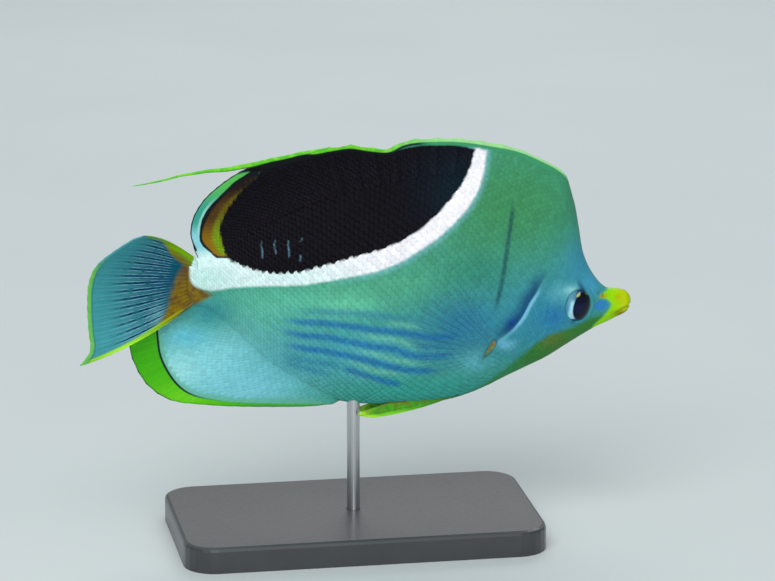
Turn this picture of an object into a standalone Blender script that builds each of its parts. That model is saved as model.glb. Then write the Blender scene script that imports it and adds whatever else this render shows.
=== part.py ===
"""Blackblotch butterflyfish, life size, on a plain display stand.

The fish looks along +X, its right side faces -Y and +Z is up. The origin is the middle of the
underside of the stand's base. Lengths below are in millimetres and become metres as meshes are made.
"""
import math

import bmesh
import bpy
import numpy as np
from mathutils import Vector
from mathutils.bvhtree import BVHTree

MM = 0.001
GAP = 0.3
SHARP_ANGLE = 40.0

# The body's stations from the lips to the root of the tail fin: x and z of the upper profile,
# x and z of the lower profile, full width, and the sharpness of the upper and the lower half
# of the section (0.5 is an ellipse, 1 a lens).
STATIONS = [
    (108.0, 89.8, 108.0, 87.0, 3.6, 0.50, 0.50),
    (106.8, 91.8, 106.4, 84.6, 6.4, 0.50, 0.50),
    (104.2, 92.8, 103.6, 82.8, 7.0, 0.50, 0.50),
    (101.5, 93.2, 100.3, 81.0, 7.6, 0.50, 0.50),
    (98.6, 94.2, 95.2, 79.0, 9.2, 0.50, 0.50),
    (95.2, 97.6, 89.0, 75.8, 12.6, 0.50, 0.50),
    (91.7, 103.3, 82.3, 72.0, 17.0, 0.52, 0.50),
    (89.3, 110.0, 74.6, 67.5, 19.6, 0.55, 0.50),
    (87.8, 119.2, 66.8, 64.0, 21.6, 0.60, 0.52),
    (85.8, 129.2, 59.0, 60.5, 23.0, 0.68, 0.55),
    (81.5, 139.0, 51.3, 57.0, 24.0, 0.74, 0.58),
    (70.0, 143.0, 42.3, 53.8, 24.6, 0.80, 0.58),
    (56.5, 145.2, 33.0, 52.0, 24.6, 0.82, 0.58),
    (38.5, 146.0, 20.2, 51.5, 24.0, 0.82, 0.60),
    (17.5, 143.8, 6.6, 52.2, 22.4, 0.82, 0.64),
    (-4.0, 139.7, -7.0, 54.6, 20.0, 0.80, 0.72),
    (-21.0, 134.5, -20.6, 60.4, 17.0, 0.76, 0.76),
    (-36.5, 127.4, -35.3, 70.9, 13.6, 0.70, 0.72),
    (-48.6, 119.6, -47.0, 83.1, 10.4, 0.64, 0.66),
    (-57.5, 114.2, -56.7, 92.7, 8.0, 0.58, 0.58),
    (-63.3, 112.4, -63.3, 96.1, 6.6, 0.54, 0.54),
]
NAPE = 10
SPANS_PER_STATION = 3
SIDE_POINTS = 10
WIDEST_AT = 0.46
HEAD_RIDGE = 0.5
FIN_RIDGE = 0.9

# Cutters run past the fish on every side to these limits.
CUT_FRONT_X = 130.0
CUT_BACK_X = -90.0
CUT_SIDE_Y = 40.0
CUT_LOW_Z = 45.0
CUT_HIGH_Z = 150.0
MITRE_LIMIT = 0.5

# The tail stalk swings toward the right side from here back.
BEND_START_X = -20.0
BEND_END_X = -62.5
BEND_SIDEWAYS = -2.5

# Where the body is parted: the gill opening's line from the nape to the throat, the tail stalk's
# front, the mouth from the lips to its corner and chin, and the gill cover's own outline.
GILL_LINE = [
    (86.0, 150.0), (80.5, 130.0), (75.0, 110.0), (71.2, 99.0), (69.2, 94.2),
    (64.8, 87.2), (60.4, 81.6), (56.2, 77.0), (54.6, 72.6), (53.0, 64.0), (51.5, 45.0),
]
TAIL_STALK_X = -51.0
MOUTH_LINE = [(112.0, 88.6), (107.3, 88.3), (101.3, 84.6)]
CHIN = (97.5, 74.0)
GILL_COVER = [
    (72.7, 100.5), (74.8, 94.0), (74.0, 86.5), (71.4, 78.6), (67.2, 72.4), (60.5, 69.4),
    (50.8, 69.8), (53.2, 77.0), (62.0, 89.0), (67.2, 99.5),
]
GILL_COVER_INNER_Y = 4.5
NOSTRILS = [(95.2, 93.0), (97.2, 92.0)]
NOSTRIL_RADIUS = 0.55
NOSTRIL_DEPTH = 1.0

EYE_CENTRE = (87.0, 89.8)
EYE_RADIUS = 6.5
EYE_HALF_THICKNESS = 2.7
EYE_SUNK = 1.5

# Fin margins, in x and z, from front to back.
DORSAL_START_STATION = 10.35
DORSAL_SPLIT_STATION = 15
DORSAL_END_STATION = 19
SPINY_MARGIN = [
    (81.0, 141.2), (72.5, 146.3), (65.0, 150.0), (57.0, 152.5), (41.5, 155.4), (26.0, 155.9),
    (19.0, 154.9), (13.5, 152.6), (7.0, 153.2), (-1.0, 154.6), (-9.0, 153.8),
]
SOFT_MARGIN = [
    (-9.4, 153.8), (-17.5, 152.5), (-23.0, 150.1), (-36.0, 147.2), (-48.0, 143.4), (-57.0, 137.0),
    (-61.6, 129.0), (-62.3, 122.5), (-60.4, 116.4),
]
FILAMENT = [
    (-21.0, 152.0), (-36.0, 149.2), (-50.0, 147.5), (-63.0, 145.4), (-74.0, 143.7), (-83.0, 142.8),
]
FILAMENT_HALF_HEIGHTS = (0.4, 0.95, 0.85, 0.65, 0.5, 0.3)
FILAMENT_HALF_WIDTHS = (0.4, 0.6, 0.55, 0.45, 0.35, 0.3)
ANAL_MARGIN = [
    (-8.0, 52.6), (-20.6, 52.2), (-44.0, 53.4), (-59.5, 55.2), (-71.0, 57.6), (-79.5, 63.8),
    (-84.5, 72.5), (-86.2, 81.0), (-82.0, 88.8), (-72.0, 93.0), (-64.2, 93.9),
]
ANAL_START_STATION = 15
ANAL_END_STATION = 19.33
ANAL_ROOT_GAP = 0.4
DORSAL_SHARE_OF_BEND = 0.5
ANAL_SHARE_OF_BEND = 0.4
FILAMENT_SIDES = 8
DORSAL_SPINES = 13
DORSAL_RAYS = 22
ANAL_SPINES = 3
ANAL_RAYS = 20
SPINE_RIDGE_WIDTH = 0.016
SPINY_NOTCH = 0.07
SOFT_NOTCH = 0.02

# The tail fin's margin from its upper to its lower corner, in x, y and z: it fans toward the
# right side, most of all in its upper lobe.
TAIL_MARGIN = [
    (-83.5, -27.0, 129.2), (-88.6, -25.5, 126.8), (-99.2, -21.0, 118.1), (-102.8, -17.5, 110.0),
    (-103.4, -15.0, 100.0), (-102.9, -13.0, 90.0), (-102.4, -12.0, 81.7), (-106.3, -12.0, 76.0),
]
TAIL_RAYS = 17
TAIL_BOW = (2.2, -3.0)
TAIL_ROOT_INSET = 0.3
TAIL_ROOT_THICKNESS = 3.2
TAIL_RAY_HEIGHT = 0.3
TAIL_START_SLOPE = 0.18
TAIL_HELD_STRAIGHT = 1.1

# A pectoral fin: its root on the flank behind the gill cover, and its rays' lengths, their rise
# above straight back and their flare off the flank, from the uppermost to the lowest.
PECTORAL_ROOT = [(53.0, 77.6), (48.8, 70.8)]
PECTORAL_RAYS = 15
PECTORAL_LENGTHS = (30.0, 38.0, 40.0, 35.0, 24.0)
PECTORAL_RISE = (60.0, 42.0, 24.0, 6.0, -12.0)
PECTORAL_FLARE = (22.0, 23.0, 25.0, 27.0, 30.0)
PECTORAL_STANDOFF = 1.2
PECTORAL_CURL = 0.28
PECTORAL_NOTCH = 0.03
PECTORAL_ROOT_THICKNESS = 1.4
PECTORAL_RAY_HEIGHT = 0.2
PECTORAL_ROWS = 6

# A pelvic fin, folded back under the belly.
PELVIC_ROOT_X = 41.5
PELVIC_TIPS = [(17.0, 47.0), (7.0, 47.4), (-0.8, 49.2), (3.0, 50.4)]
PELVIC_RAYS = 6
PELVIC_ROOT_Y = 3.0
PELVIC_ROOT_THICKNESS = 1.4
PELVIC_ROOT_DEPTH = 2.2
PELVIC_ROOT_LEAN = 0.8
PELVIC_ROOT_GAP = 0.4
PELVIC_TIP_Y = (6.0, 5.0)
PELVIC_NOTCH = 0.03
PELVIC_RAY_HEIGHT = 0.2

# Thickness of a membrane at its root and margin, and how far a ray stands off it there.
ROOT_THICKNESS = 1.8
EDGE_THICKNESS = 0.6
RAY_HEIGHT = 0.25
SPINE_HEIGHT = 0.4
RAY_TAPER = 0.6
WEB_TAPER = 1.5

BASE_SIZE = (140.0, 80.0, 10.0)
BASE_CORNER = 12.0
BASE_EDGE = 1.5
ROD_RADIUS = 2.5
ROD_TOP_Z = 60.0
ROD_IN_BASE = 6.0
ROD_ROOM_DEPTH = 15.0

COLOURS = {
    "head": (0.20, 0.42, 0.46),
    "lower_jaw": (0.60, 0.65, 0.05),
    "gill_cover": (0.22, 0.46, 0.50),
    "trunk": (0.22, 0.50, 0.42),
    "tail_base": (0.80, 0.85, 0.82),
    "dorsal_fin": (0.03, 0.03, 0.05),
    "anal_fin": (0.35, 0.60, 0.25),
    "tail_fin": (0.20, 0.40, 0.45),
    "pectoral_fin": (0.30, 0.50, 0.55),
    "pelvic_fin": (0.30, 0.55, 0.10),
    "eye": (0.02, 0.03, 0.08),
    "stand": (0.03, 0.03, 0.03),
}


# Scene and materials

def clear_scene():
    for old in list(bpy.data.objects):
        bpy.data.objects.remove(old, do_unlink=True)


def new_collection(name):
    collection = bpy.data.collections.new(name)
    bpy.context.scene.collection.children.link(collection)
    return collection


def new_material(name, colour, roughness=0.45, metallic=0.0):
    material = bpy.data.materials.new(name)
    material.use_nodes = True
    shader = material.node_tree.nodes["Principled BSDF"]
    shader.inputs["Base Color"].default_value = (*colour, 1.0)
    shader.inputs["Roughness"].default_value = roughness
    shader.inputs["Metallic"].default_value = metallic
    return material


def add_object(name, mesh, collection, colour=None):
    thing = bpy.data.objects.new(name, mesh)
    collection.objects.link(thing)
    if colour:
        mesh.materials.clear()
        mesh.materials.append(new_material(name, colour))
    mesh.shade_smooth()
    mesh.set_sharp_from_angle(angle=math.radians(SHARP_ANGLE))
    return thing


def mesh_from(name, points, faces):
    mesh = bpy.data.meshes.new(name)
    mesh.from_pydata([Vector(p) * MM for p in points], [], faces)
    mesh.update()
    return mesh


# Curves through a few points

def smooth_through(points, per_span):
    """Catmull-Rom samples through the points, per_span steps from each point to the next."""
    rows = np.array(points, float)
    rows = np.vstack([2 * rows[0] - rows[1], rows, 2 * rows[-1] - rows[-2]])
    samples = []
    for before, here, after, beyond in zip(rows, rows[1:], rows[2:], rows[3:]):
        for step in range(per_span):
            t = step / per_span
            samples.append(0.5 * (2 * here + (after - before) * t
                                  + (2 * before - 5 * here + 4 * after - beyond) * t ** 2
                                  + (3 * here - before - 3 * after + beyond) * t ** 3))
    samples.append(rows[-2])
    return np.array(samples)


def along(path, fractions):
    """Points at the given fractions of a path's length."""
    steps = np.linalg.norm(np.diff(path, axis=0), axis=1)
    reached = np.concatenate([[0.0], np.cumsum(steps)]) / steps.sum()
    return np.array([[np.interp(f, reached, path[:, axis]) for axis in range(path.shape[1])]
                     for f in fractions])


def bend_at(x):
    swing = np.clip((BEND_START_X - x) / (BEND_START_X - BEND_END_X), 0.0, None)
    return BEND_SIDEWAYS * swing ** 3


# Cutting

def cut(thing, cutter, operation):
    modifier = thing.modifiers.new(operation.lower(), "BOOLEAN")
    modifier.operation = operation
    modifier.solver = "EXACT"
    modifier.object = cutter
    solid = bpy.data.meshes.new_from_object(thing.evaluated_get(bpy.context.evaluated_depsgraph_get()))
    thing.modifiers.clear()
    thing.data = solid


def as_cutter(thing):
    thing.hide_render = True
    thing.display_type = "WIRE"
    return thing


def prism(name, outline, y_from, y_to):
    """A cutter: the outline in x and z, run from one y to another."""
    bm = bmesh.new()
    corners = [bm.verts.new(Vector((x, y_from, z)) * MM) for x, z in outline]
    face = bm.faces.new(corners)
    grown = bmesh.ops.extrude_face_region(bm, geom=[face])
    moved = [item for item in grown["geom"] if isinstance(item, bmesh.types.BMVert)]
    bmesh.ops.translate(bm, verts=moved, vec=Vector((0, y_to - y_from, 0)) * MM)
    bmesh.ops.recalc_face_normals(bm, faces=bm.faces)
    mesh = bpy.data.meshes.new(name)
    bm.to_mesh(mesh)
    bm.free()
    return as_cutter(add_object(name, mesh, cutters))


def grown_outline(outline, by):
    """The outline with each corner moved out along the mean of its two edges' normals."""
    points = [Vector(p) for p in outline]
    turn = sum(a.cross(b) for a, b in zip(points, points[1:] + points[:1]))
    sign = 1 if turn > 0 else -1
    result = []
    for before, here, after in zip(points[-1:] + points[:-1], points, points[1:] + points[:1]):
        edge_in = (here - before).normalized()
        edge_out = (after - here).normalized()
        normal = (Vector((edge_in.y, -edge_in.x)) + Vector((edge_out.y, -edge_out.x))).normalized()
        reach = by / max(MITRE_LIMIT, normal.dot(Vector((edge_in.y, -edge_in.x))))
        result.append(tuple(here + normal * reach * sign))
    return result


def mirrored(outline_y):
    """The two sides' y ranges for something that starts outline_y off the middle."""
    return {"right": (-outline_y, -CUT_SIDE_Y), "left": (outline_y, CUT_SIDE_Y)}


SIDES = {"right": -1, "left": 1}


# Body

def body_section(row, ridge_top, ridge_bottom):
    """The points of one section, up the right side and down the left."""
    upper = Vector((row[0], row[1]))
    lower = Vector((row[2], row[3]))
    half = row[4] / 2
    right = []
    for step in range(SIDE_POINTS):
        turn = math.pi * step / (SIDE_POINTS - 1)
        is_low = turn <= math.pi / 2
        reach = 1 - math.cos(turn)
        height = WIDEST_AT * reach if is_low else WIDEST_AT + (1 - WIDEST_AT) * (reach - 1)
        sharpness = row[6] if is_low else row[5]
        ridge = ridge_bottom + (ridge_top - ridge_bottom) * height
        y = ridge + (half - ridge) * abs(math.sin(turn)) ** (2 * sharpness)
        place = lower.lerp(upper, height)
        right.append((place.x, -y, place.y))
    left = [(x, -y, z) for x, y, z in reversed(right)]
    return [(x, y + float(bend_at(x)), z) for x, y, z in right + left]


def body_loft():
    rows = smooth_through(STATIONS, SPANS_PER_STATION)
    rings = []
    for number, row in enumerate(rows):
        finned = min(1.0, max(0.0, number / SPANS_PER_STATION - NAPE + 1))
        ridge = HEAD_RIDGE + (FIN_RIDGE - HEAD_RIDGE) * finned
        rings.append(body_section(row, ridge, ridge))
    around = len(rings[0])
    points = [point for ring in rings for point in ring]
    faces = [tuple(range(around))]
    for ring in range(len(rings) - 1):
        start = ring * around
        for step in range(around):
            after = (step + 1) % around
            faces.append((start + step, start + around + step, start + around + after, start + after))
    faces.append(tuple(reversed(range(len(points) - around, len(points)))))
    bm = bmesh.new()
    mesh = mesh_from("body", points, faces)
    bm.from_mesh(mesh)
    bmesh.ops.recalc_face_normals(bm, faces=bm.faces)
    bmesh.ops.triangulate(bm, faces=bm.faces)
    bm.to_mesh(mesh)
    bm.free()
    return add_object("body_whole", mesh, cutters), rows


def body_part(name, colour):
    return add_object(name, body.data.copy(), parts, colour)


def shifted(outline, x, z=0.0):
    return [(px + x, pz + z) for px, pz in outline]


# Fins

def fin_slab(name, grid, thickness, colour, facing=None):
    """A closed sheet about a grid of middle points, with triangles alike on both faces.
    Its faces look along the sheet's own normals, or all one way if facing is given."""
    grid = np.array(grid, float)
    columns, rows = grid.shape[:2]
    if facing is None:
        outward = np.cross(np.gradient(grid, axis=0), np.gradient(grid, axis=1))
        outward /= np.linalg.norm(outward, axis=2, keepdims=True)
    else:
        outward = np.broadcast_to(np.array(facing, float), grid.shape)
    shift = outward * (np.array(thickness) / 2)[:, :, None]
    points = np.concatenate([(grid + shift).reshape(-1, 3), (grid - shift).reshape(-1, 3)])
    second = columns * rows

    def at(column, row, side):
        return side * second + column * rows + row

    faces = []
    for c in range(columns - 1):
        for r in range(rows - 1):
            for side in (0, 1):
                a, b = at(c, r, side), at(c + 1, r, side)
                d, e = at(c + 1, r + 1, side), at(c, r + 1, side)
                faces += [(a, b, d), (a, d, e)] if side == 0 else [(a, d, b), (a, e, d)]
    rim = [(c, 0) for c in range(columns)] + [(columns - 1, r) for r in range(1, rows)]
    rim += [(c, rows - 1) for c in range(columns - 2, -1, -1)] + [(0, r) for r in range(rows - 2, 0, -1)]
    for here, after in zip(rim, rim[1:] + rim[:1]):
        faces.append((at(*here, 0), at(*here, 1), at(*after, 1)))
        faces.append((at(*here, 0), at(*after, 1), at(*after, 0)))
    mesh = mesh_from(name, points, faces)
    bm = bmesh.new()
    bm.from_mesh(mesh)
    bmesh.ops.recalc_face_normals(bm, faces=bm.faces)
    bm.to_mesh(mesh)
    bm.free()
    return add_object(name, mesh, parts, colour)


def ray_columns(count, ridge_width=None):
    """Fractions across a fin and whether each is a ray: soft rays alternate with one dip
    between, and spines, given a ridge width, rise from flat membrane on both sides."""
    columns = []
    for number in range(count):
        place = number / (count - 1)
        if ridge_width is None:
            columns.append((place, True))
            if number < count - 1:
                columns.append((place + 0.5 / (count - 1), False))
            continue
        if number > 0:
            columns.append((place - ridge_width, False))
        columns.append((place, True))
        if number < count - 1:
            columns.append((place + ridge_width, False))
    return columns


def fin_between(name, roots, tips, columns, rows, colour, ray_height, notch, curve=None,
                root_thickness=ROOT_THICKNESS, facing=None):
    """A fin from points along its root to points along its margin, with raised rays."""
    fractions = [place for place, _ in columns]
    root_points = along(roots, fractions)
    tip_points = along(tips, fractions)
    grid, thickness = [], []
    for (place, is_ray), root, tip in zip(columns, root_points, tip_points):
        reach = 1.0 if is_ray else 1.0 - notch
        line, widths = [], []
        for row in range(rows + 1):
            t = reach * row / rows
            point = root + (tip - root) * t
            if curve is not None:
                point = point + curve(place, t)
            line.append(point)
            web = EDGE_THICKNESS + (root_thickness - EDGE_THICKNESS) * (1 - row / rows) ** WEB_TAPER
            raised = 2 * ray_height * (1 - RAY_TAPER * row / rows) if is_ray and row else 0.0
            widths.append(web + raised)
        grid.append(line)
        thickness.append(widths)
    return fin_slab(name, grid, thickness, colour, facing)


def profile_path(rows, first, last, upper, gap=GAP):
    """The body's upper or lower profile between two stations, held off by the gap."""
    start = round(first * SPANS_PER_STATION)
    end = round(last * SPANS_PER_STATION)
    picked = rows[start:end + 1, 0:2] if upper else rows[start:end + 1, 2:4]
    slope = np.gradient(picked, axis=0)
    normal = np.stack([slope[:, 1], -slope[:, 0]], axis=1)
    normal /= np.linalg.norm(normal, axis=1, keepdims=True)
    if (normal[len(normal) // 2][1] < 0) == upper:
        normal = -normal
    held = picked + normal * gap
    return np.stack([held[:, 0], bend_at(held[:, 0]), held[:, 1]], axis=1)


def margin_path(outline, share_of_bend, steps=6):
    flat = smooth_through(outline, steps)
    sideways = bend_at(np.maximum(flat[:, 0], BEND_END_X)) * share_of_bend
    return np.stack([flat[:, 0], sideways, flat[:, 1]], axis=1)


def surface_point(x, z, side):
    """Where the flank is at x and z, and its outward normal, in millimetres."""
    start = Vector((x, side * CUT_SIDE_Y, z)) * MM
    place, normal, _, _ = flank.ray_cast(start, Vector((0, -side, 0)))
    return place / MM, normal


clear_scene()
parts = new_collection("blackblotch_butterflyfish")
cutters = new_collection("cutters")
body, body_rows = body_loft()
flank = BVHTree.FromObject(body, bpy.context.evaluated_depsgraph_get())

# Eyes: flattened globes that follow the cheek's slope, each in its own socket

def eye_globe(name, side, extra, collection):
    place, normal = surface_point(*EYE_CENTRE, side)
    bm = bmesh.new()
    bmesh.ops.create_uvsphere(bm, u_segments=20, v_segments=10, radius=1.0)
    for vert in bm.verts:
        vert.co.x *= EYE_RADIUS + extra
        vert.co.y *= EYE_RADIUS + extra
        vert.co.z *= EYE_HALF_THICKNESS + extra
    facing = normal.to_track_quat("Z", "Y").to_matrix().to_4x4()
    bm.transform(facing)
    bmesh.ops.translate(bm, verts=bm.verts, vec=place - normal * EYE_SUNK)
    bmesh.ops.scale(bm, verts=bm.verts, vec=(MM, MM, MM))
    mesh = bpy.data.meshes.new(name)
    bm.to_mesh(mesh)
    bm.free()
    return add_object(name, mesh, collection, COLOURS["eye"] if collection == parts else None)


sockets = []
for side_name, side in SIDES.items():
    eye_globe(f"eye_{side_name}", side, 0.0, parts)
    sockets.append(as_cutter(eye_globe(f"socket_{side_name}", side, GAP, cutters)))

# Head, jaw, gill covers, trunk and tail stalk: the whole body parted along thin gaps

half_gap = GAP / 2 + 0.05
front_edge = [(CUT_FRONT_X, CUT_LOW_Z), (CUT_FRONT_X, CUT_HIGH_Z)]
head_region = prism("head_region", shifted(GILL_LINE, half_gap) + front_edge, -CUT_SIDE_Y, CUT_SIDE_Y)
trunk_end = TAIL_STALK_X + GAP / 2
trunk_back = [(trunk_end, CUT_LOW_Z), (trunk_end, CUT_HIGH_Z)]
trunk_region = prism("trunk_region", shifted(GILL_LINE, -half_gap) + trunk_back, -CUT_SIDE_Y, CUT_SIDE_Y)
jaw_outline = MOUTH_LINE + [CHIN, (MOUTH_LINE[0][0], CHIN[1])]
jaw_region = prism("jaw_region", jaw_outline, -CUT_SIDE_Y, CUT_SIDE_Y)
jaw_room = prism("jaw_room", grown_outline(jaw_outline, GAP), 1 - CUT_SIDE_Y, CUT_SIDE_Y - 1)

head = body_part("head", COLOURS["head"])
cut(head, head_region, "INTERSECT")
cut(head, jaw_room, "DIFFERENCE")
for socket in sockets:
    cut(head, socket, "DIFFERENCE")

jaw = body_part("lower_jaw", COLOURS["lower_jaw"])
cut(jaw, jaw_region, "INTERSECT")

gill_room = grown_outline(GILL_COVER, GAP)
for side_name, (inner, outer) in mirrored(GILL_COVER_INNER_Y).items():
    cover = body_part(f"gill_cover_{side_name}", COLOURS["gill_cover"])
    cut(cover, head_region, "INTERSECT")
    cut(cover, prism(f"gill_region_{side_name}", GILL_COVER, inner, outer), "INTERSECT")
    deeper = inner - math.copysign(GAP, inner)
    cut(head, prism(f"gill_room_{side_name}", gill_room, deeper, outer), "DIFFERENCE")


def drill(name, place, direction, radius, depth):
    """A round cutter from outside the surface down to a depth below it."""
    bm = bmesh.new()
    bmesh.ops.create_cone(bm, cap_ends=True, segments=12, radius1=radius, radius2=radius,
                          depth=2 * depth)
    bm.transform(direction.to_track_quat("Z", "Y").to_matrix().to_4x4())
    bmesh.ops.translate(bm, verts=bm.verts, vec=place)
    bmesh.ops.scale(bm, verts=bm.verts, vec=(MM, MM, MM))
    mesh = bpy.data.meshes.new(name)
    bm.to_mesh(mesh)
    bm.free()
    return as_cutter(add_object(name, mesh, cutters))


for side_name, side in SIDES.items():
    for number, (x, z) in enumerate(NOSTRILS):
        place, normal = surface_point(x, z, side)
        pit = drill(f"nostril_{side_name}_{number}", place, normal, NOSTRIL_RADIUS, NOSTRIL_DEPTH)
        cut(head, pit, "DIFFERENCE")

trunk = body_part("trunk", COLOURS["trunk"])
cut(trunk, trunk_region, "INTERSECT")
rod_room = drill("rod_room", Vector((0, 0, ROD_TOP_Z + GAP - ROD_ROOM_DEPTH)), Vector((0, 0, 1)),
                 ROD_RADIUS + GAP, ROD_ROOM_DEPTH)
cut(trunk, rod_room, "DIFFERENCE")

stalk = body_part("tail_base", COLOURS["tail_base"])
stalk_front = TAIL_STALK_X - GAP / 2
stalk_outline = [(stalk_front, CUT_LOW_Z), (stalk_front, CUT_HIGH_Z), (CUT_BACK_X, CUT_HIGH_Z),
                 (CUT_BACK_X, CUT_LOW_Z)]
cut(stalk, prism("stalk_region", stalk_outline, -CUT_SIDE_Y, CUT_SIDE_Y), "INTERSECT")

# Dorsal fin: thirteen spines, then the soft rays, and the trailing filament

spiny_root = profile_path(body_rows, DORSAL_START_STATION, DORSAL_SPLIT_STATION, True)
fin_between("dorsal_fin_spines", spiny_root, margin_path(SPINY_MARGIN, DORSAL_SHARE_OF_BEND),
            ray_columns(DORSAL_SPINES, SPINE_RIDGE_WIDTH), 4, COLOURS["dorsal_fin"], SPINE_HEIGHT,
            SPINY_NOTCH)

soft_root = profile_path(body_rows, DORSAL_SPLIT_STATION, DORSAL_END_STATION, True)
soft_root[0, 0] -= GAP
fin_between("dorsal_fin_soft", soft_root, margin_path(SOFT_MARGIN, DORSAL_SHARE_OF_BEND),
            ray_columns(DORSAL_RAYS), 6, COLOURS["dorsal_fin"], RAY_HEIGHT, SOFT_NOTCH)

# Anal fin

anal_root = profile_path(body_rows, ANAL_START_STATION, ANAL_END_STATION, False, ANAL_ROOT_GAP)
fin_between("anal_fin", anal_root, margin_path(ANAL_MARGIN, ANAL_SHARE_OF_BEND),
            ray_columns(ANAL_SPINES + ANAL_RAYS), 6, COLOURS["anal_fin"], RAY_HEIGHT, SOFT_NOTCH)

# Tail fin: rays that leave straight back along the stalk and then fan toward the right side

stalk_end = np.array(STATIONS[-1])
tail_root_x = stalk_end[0] - GAP
tail_root = np.array([
    (tail_root_x, bend_at(tail_root_x), stalk_end[1] - TAIL_ROOT_INSET),
    (tail_root_x, bend_at(tail_root_x), stalk_end[3] + TAIL_ROOT_INSET),
])
tail_margin = smooth_through(TAIL_MARGIN, 6)


def tail_sweep(place, t):
    """Holds the rays back toward the stalk's own line near the root."""
    root = along(tail_root, [place])[0]
    tip = along(tail_margin, [place])[0]
    off_line = TAIL_START_SLOPE * (tip - root)[0] - (tip - root)[1]
    bow = TAIL_BOW[0] + (TAIL_BOW[1] - TAIL_BOW[0]) * place
    return np.array([0.0, TAIL_HELD_STRAIGHT * off_line * t * (1 - t), 4 * bow * t * (1 - t)])


fin_between("tail_fin", tail_root, tail_margin, ray_columns(TAIL_RAYS), 8, COLOURS["tail_fin"],
            TAIL_RAY_HEIGHT, SOFT_NOTCH, tail_sweep, root_thickness=TAIL_ROOT_THICKNESS)

# Pectoral fins, fanned off the flank

def pectoral(side_name, side):
    shares = np.linspace(0, 1, len(PECTORAL_LENGTHS))
    columns = ray_columns(PECTORAL_RAYS)
    grid, thickness = [], []
    for place, is_ray in columns:
        x, z = along(np.array(PECTORAL_ROOT), [place])[0]
        spot, normal = surface_point(x, z, side)
        length = np.interp(place, shares, PECTORAL_LENGTHS) * (1.0 if is_ray else 1 - PECTORAL_NOTCH)
        rise = math.radians(np.interp(place, shares, PECTORAL_RISE))
        flare = math.radians(np.interp(place, shares, PECTORAL_FLARE))
        line, widths = [], []
        start = spot + normal * PECTORAL_STANDOFF
        for row in range(PECTORAL_ROWS + 1):
            t = row / PECTORAL_ROWS
            out = math.sin(flare) * length * (t - PECTORAL_CURL * t * t)
            back = math.cos(flare) * length * t
            line.append((start.x - back * math.cos(rise), start.y + side * out,
                         start.z + back * math.sin(rise)))
            web = EDGE_THICKNESS + (PECTORAL_ROOT_THICKNESS - EDGE_THICKNESS) * (1 - t) ** 2
            raised = 2 * PECTORAL_RAY_HEIGHT * (1 - RAY_TAPER * t) if is_ray and row else 0.0
            widths.append(web + raised)
        grid.append(line)
        thickness.append(widths)
    fin_slab(f"pectoral_fin_{side_name}", grid, thickness, COLOURS["pectoral_fin"])


# Pelvic fins, folded back along the belly

def belly_point(x, y):
    place, _, _, _ = flank.ray_cast(Vector((x, y, 0.0)) * MM, Vector((0, 0, 1)))
    return place / MM


def pelvic(side_name, side):
    under_belly = belly_point(PELVIC_ROOT_X, side * (PELVIC_ROOT_Y - PELVIC_ROOT_THICKNESS / 2))
    top = np.array((PELVIC_ROOT_X, side * PELVIC_ROOT_Y, under_belly.z - PELVIC_ROOT_GAP))
    root = np.array([top + (PELVIC_ROOT_LEAN, 0.0, -PELVIC_ROOT_DEPTH), top])
    outline = smooth_through(PELVIC_TIPS, 6)
    spread = np.linspace(*PELVIC_TIP_Y, len(outline))
    tips = np.stack([outline[:, 0], side * spread, outline[:, 1]], axis=1)
    fin_between(f"pelvic_fin_{side_name}", root, tips, ray_columns(PELVIC_RAYS), 6,
                COLOURS["pelvic_fin"], PELVIC_RAY_HEIGHT, PELVIC_NOTCH,
                root_thickness=PELVIC_ROOT_THICKNESS, facing=(0, 1, 0))


for side_name, side in SIDES.items():
    pectoral(side_name, side)
    pelvic(side_name, side)


# Trailing filament of the soft dorsal fin, an oval thread that tapers

def filament():
    stations = [(x, z, high, wide) for (x, z), high, wide
                in zip(FILAMENT, FILAMENT_HALF_HEIGHTS, FILAMENT_HALF_WIDTHS)]
    path = smooth_through(stations, 4)
    around = FILAMENT_SIDES
    points, faces = [], []
    for x, z, high, wide in path:
        for step in range(around):
            turn = 2 * math.pi * step / around
            swing = DORSAL_SHARE_OF_BEND * float(bend_at(max(x, BEND_END_X)))
            points.append((x, swing + wide * math.cos(turn), z + high * math.sin(turn)))
    for ring in range(len(path) - 1):
        for step in range(around):
            after = (step + 1) % around
            first, second = ring * around, (ring + 1) * around
            faces.append((first + step, first + after, second + after, second + step))
    faces.append(tuple(reversed(range(around))))
    faces.append(tuple(range(len(points) - around, len(points))))
    mesh = mesh_from("dorsal_filament", points, faces)
    bm = bmesh.new()
    bm.from_mesh(mesh)
    bmesh.ops.recalc_face_normals(bm, faces=bm.faces)
    bmesh.ops.triangulate(bm, faces=bm.faces)
    bm.to_mesh(mesh)
    bm.free()
    add_object("dorsal_filament", mesh, parts, COLOURS["dorsal_fin"])


filament()


# Display stand: a flat base with rounded corners, and one rod up into the belly

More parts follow.
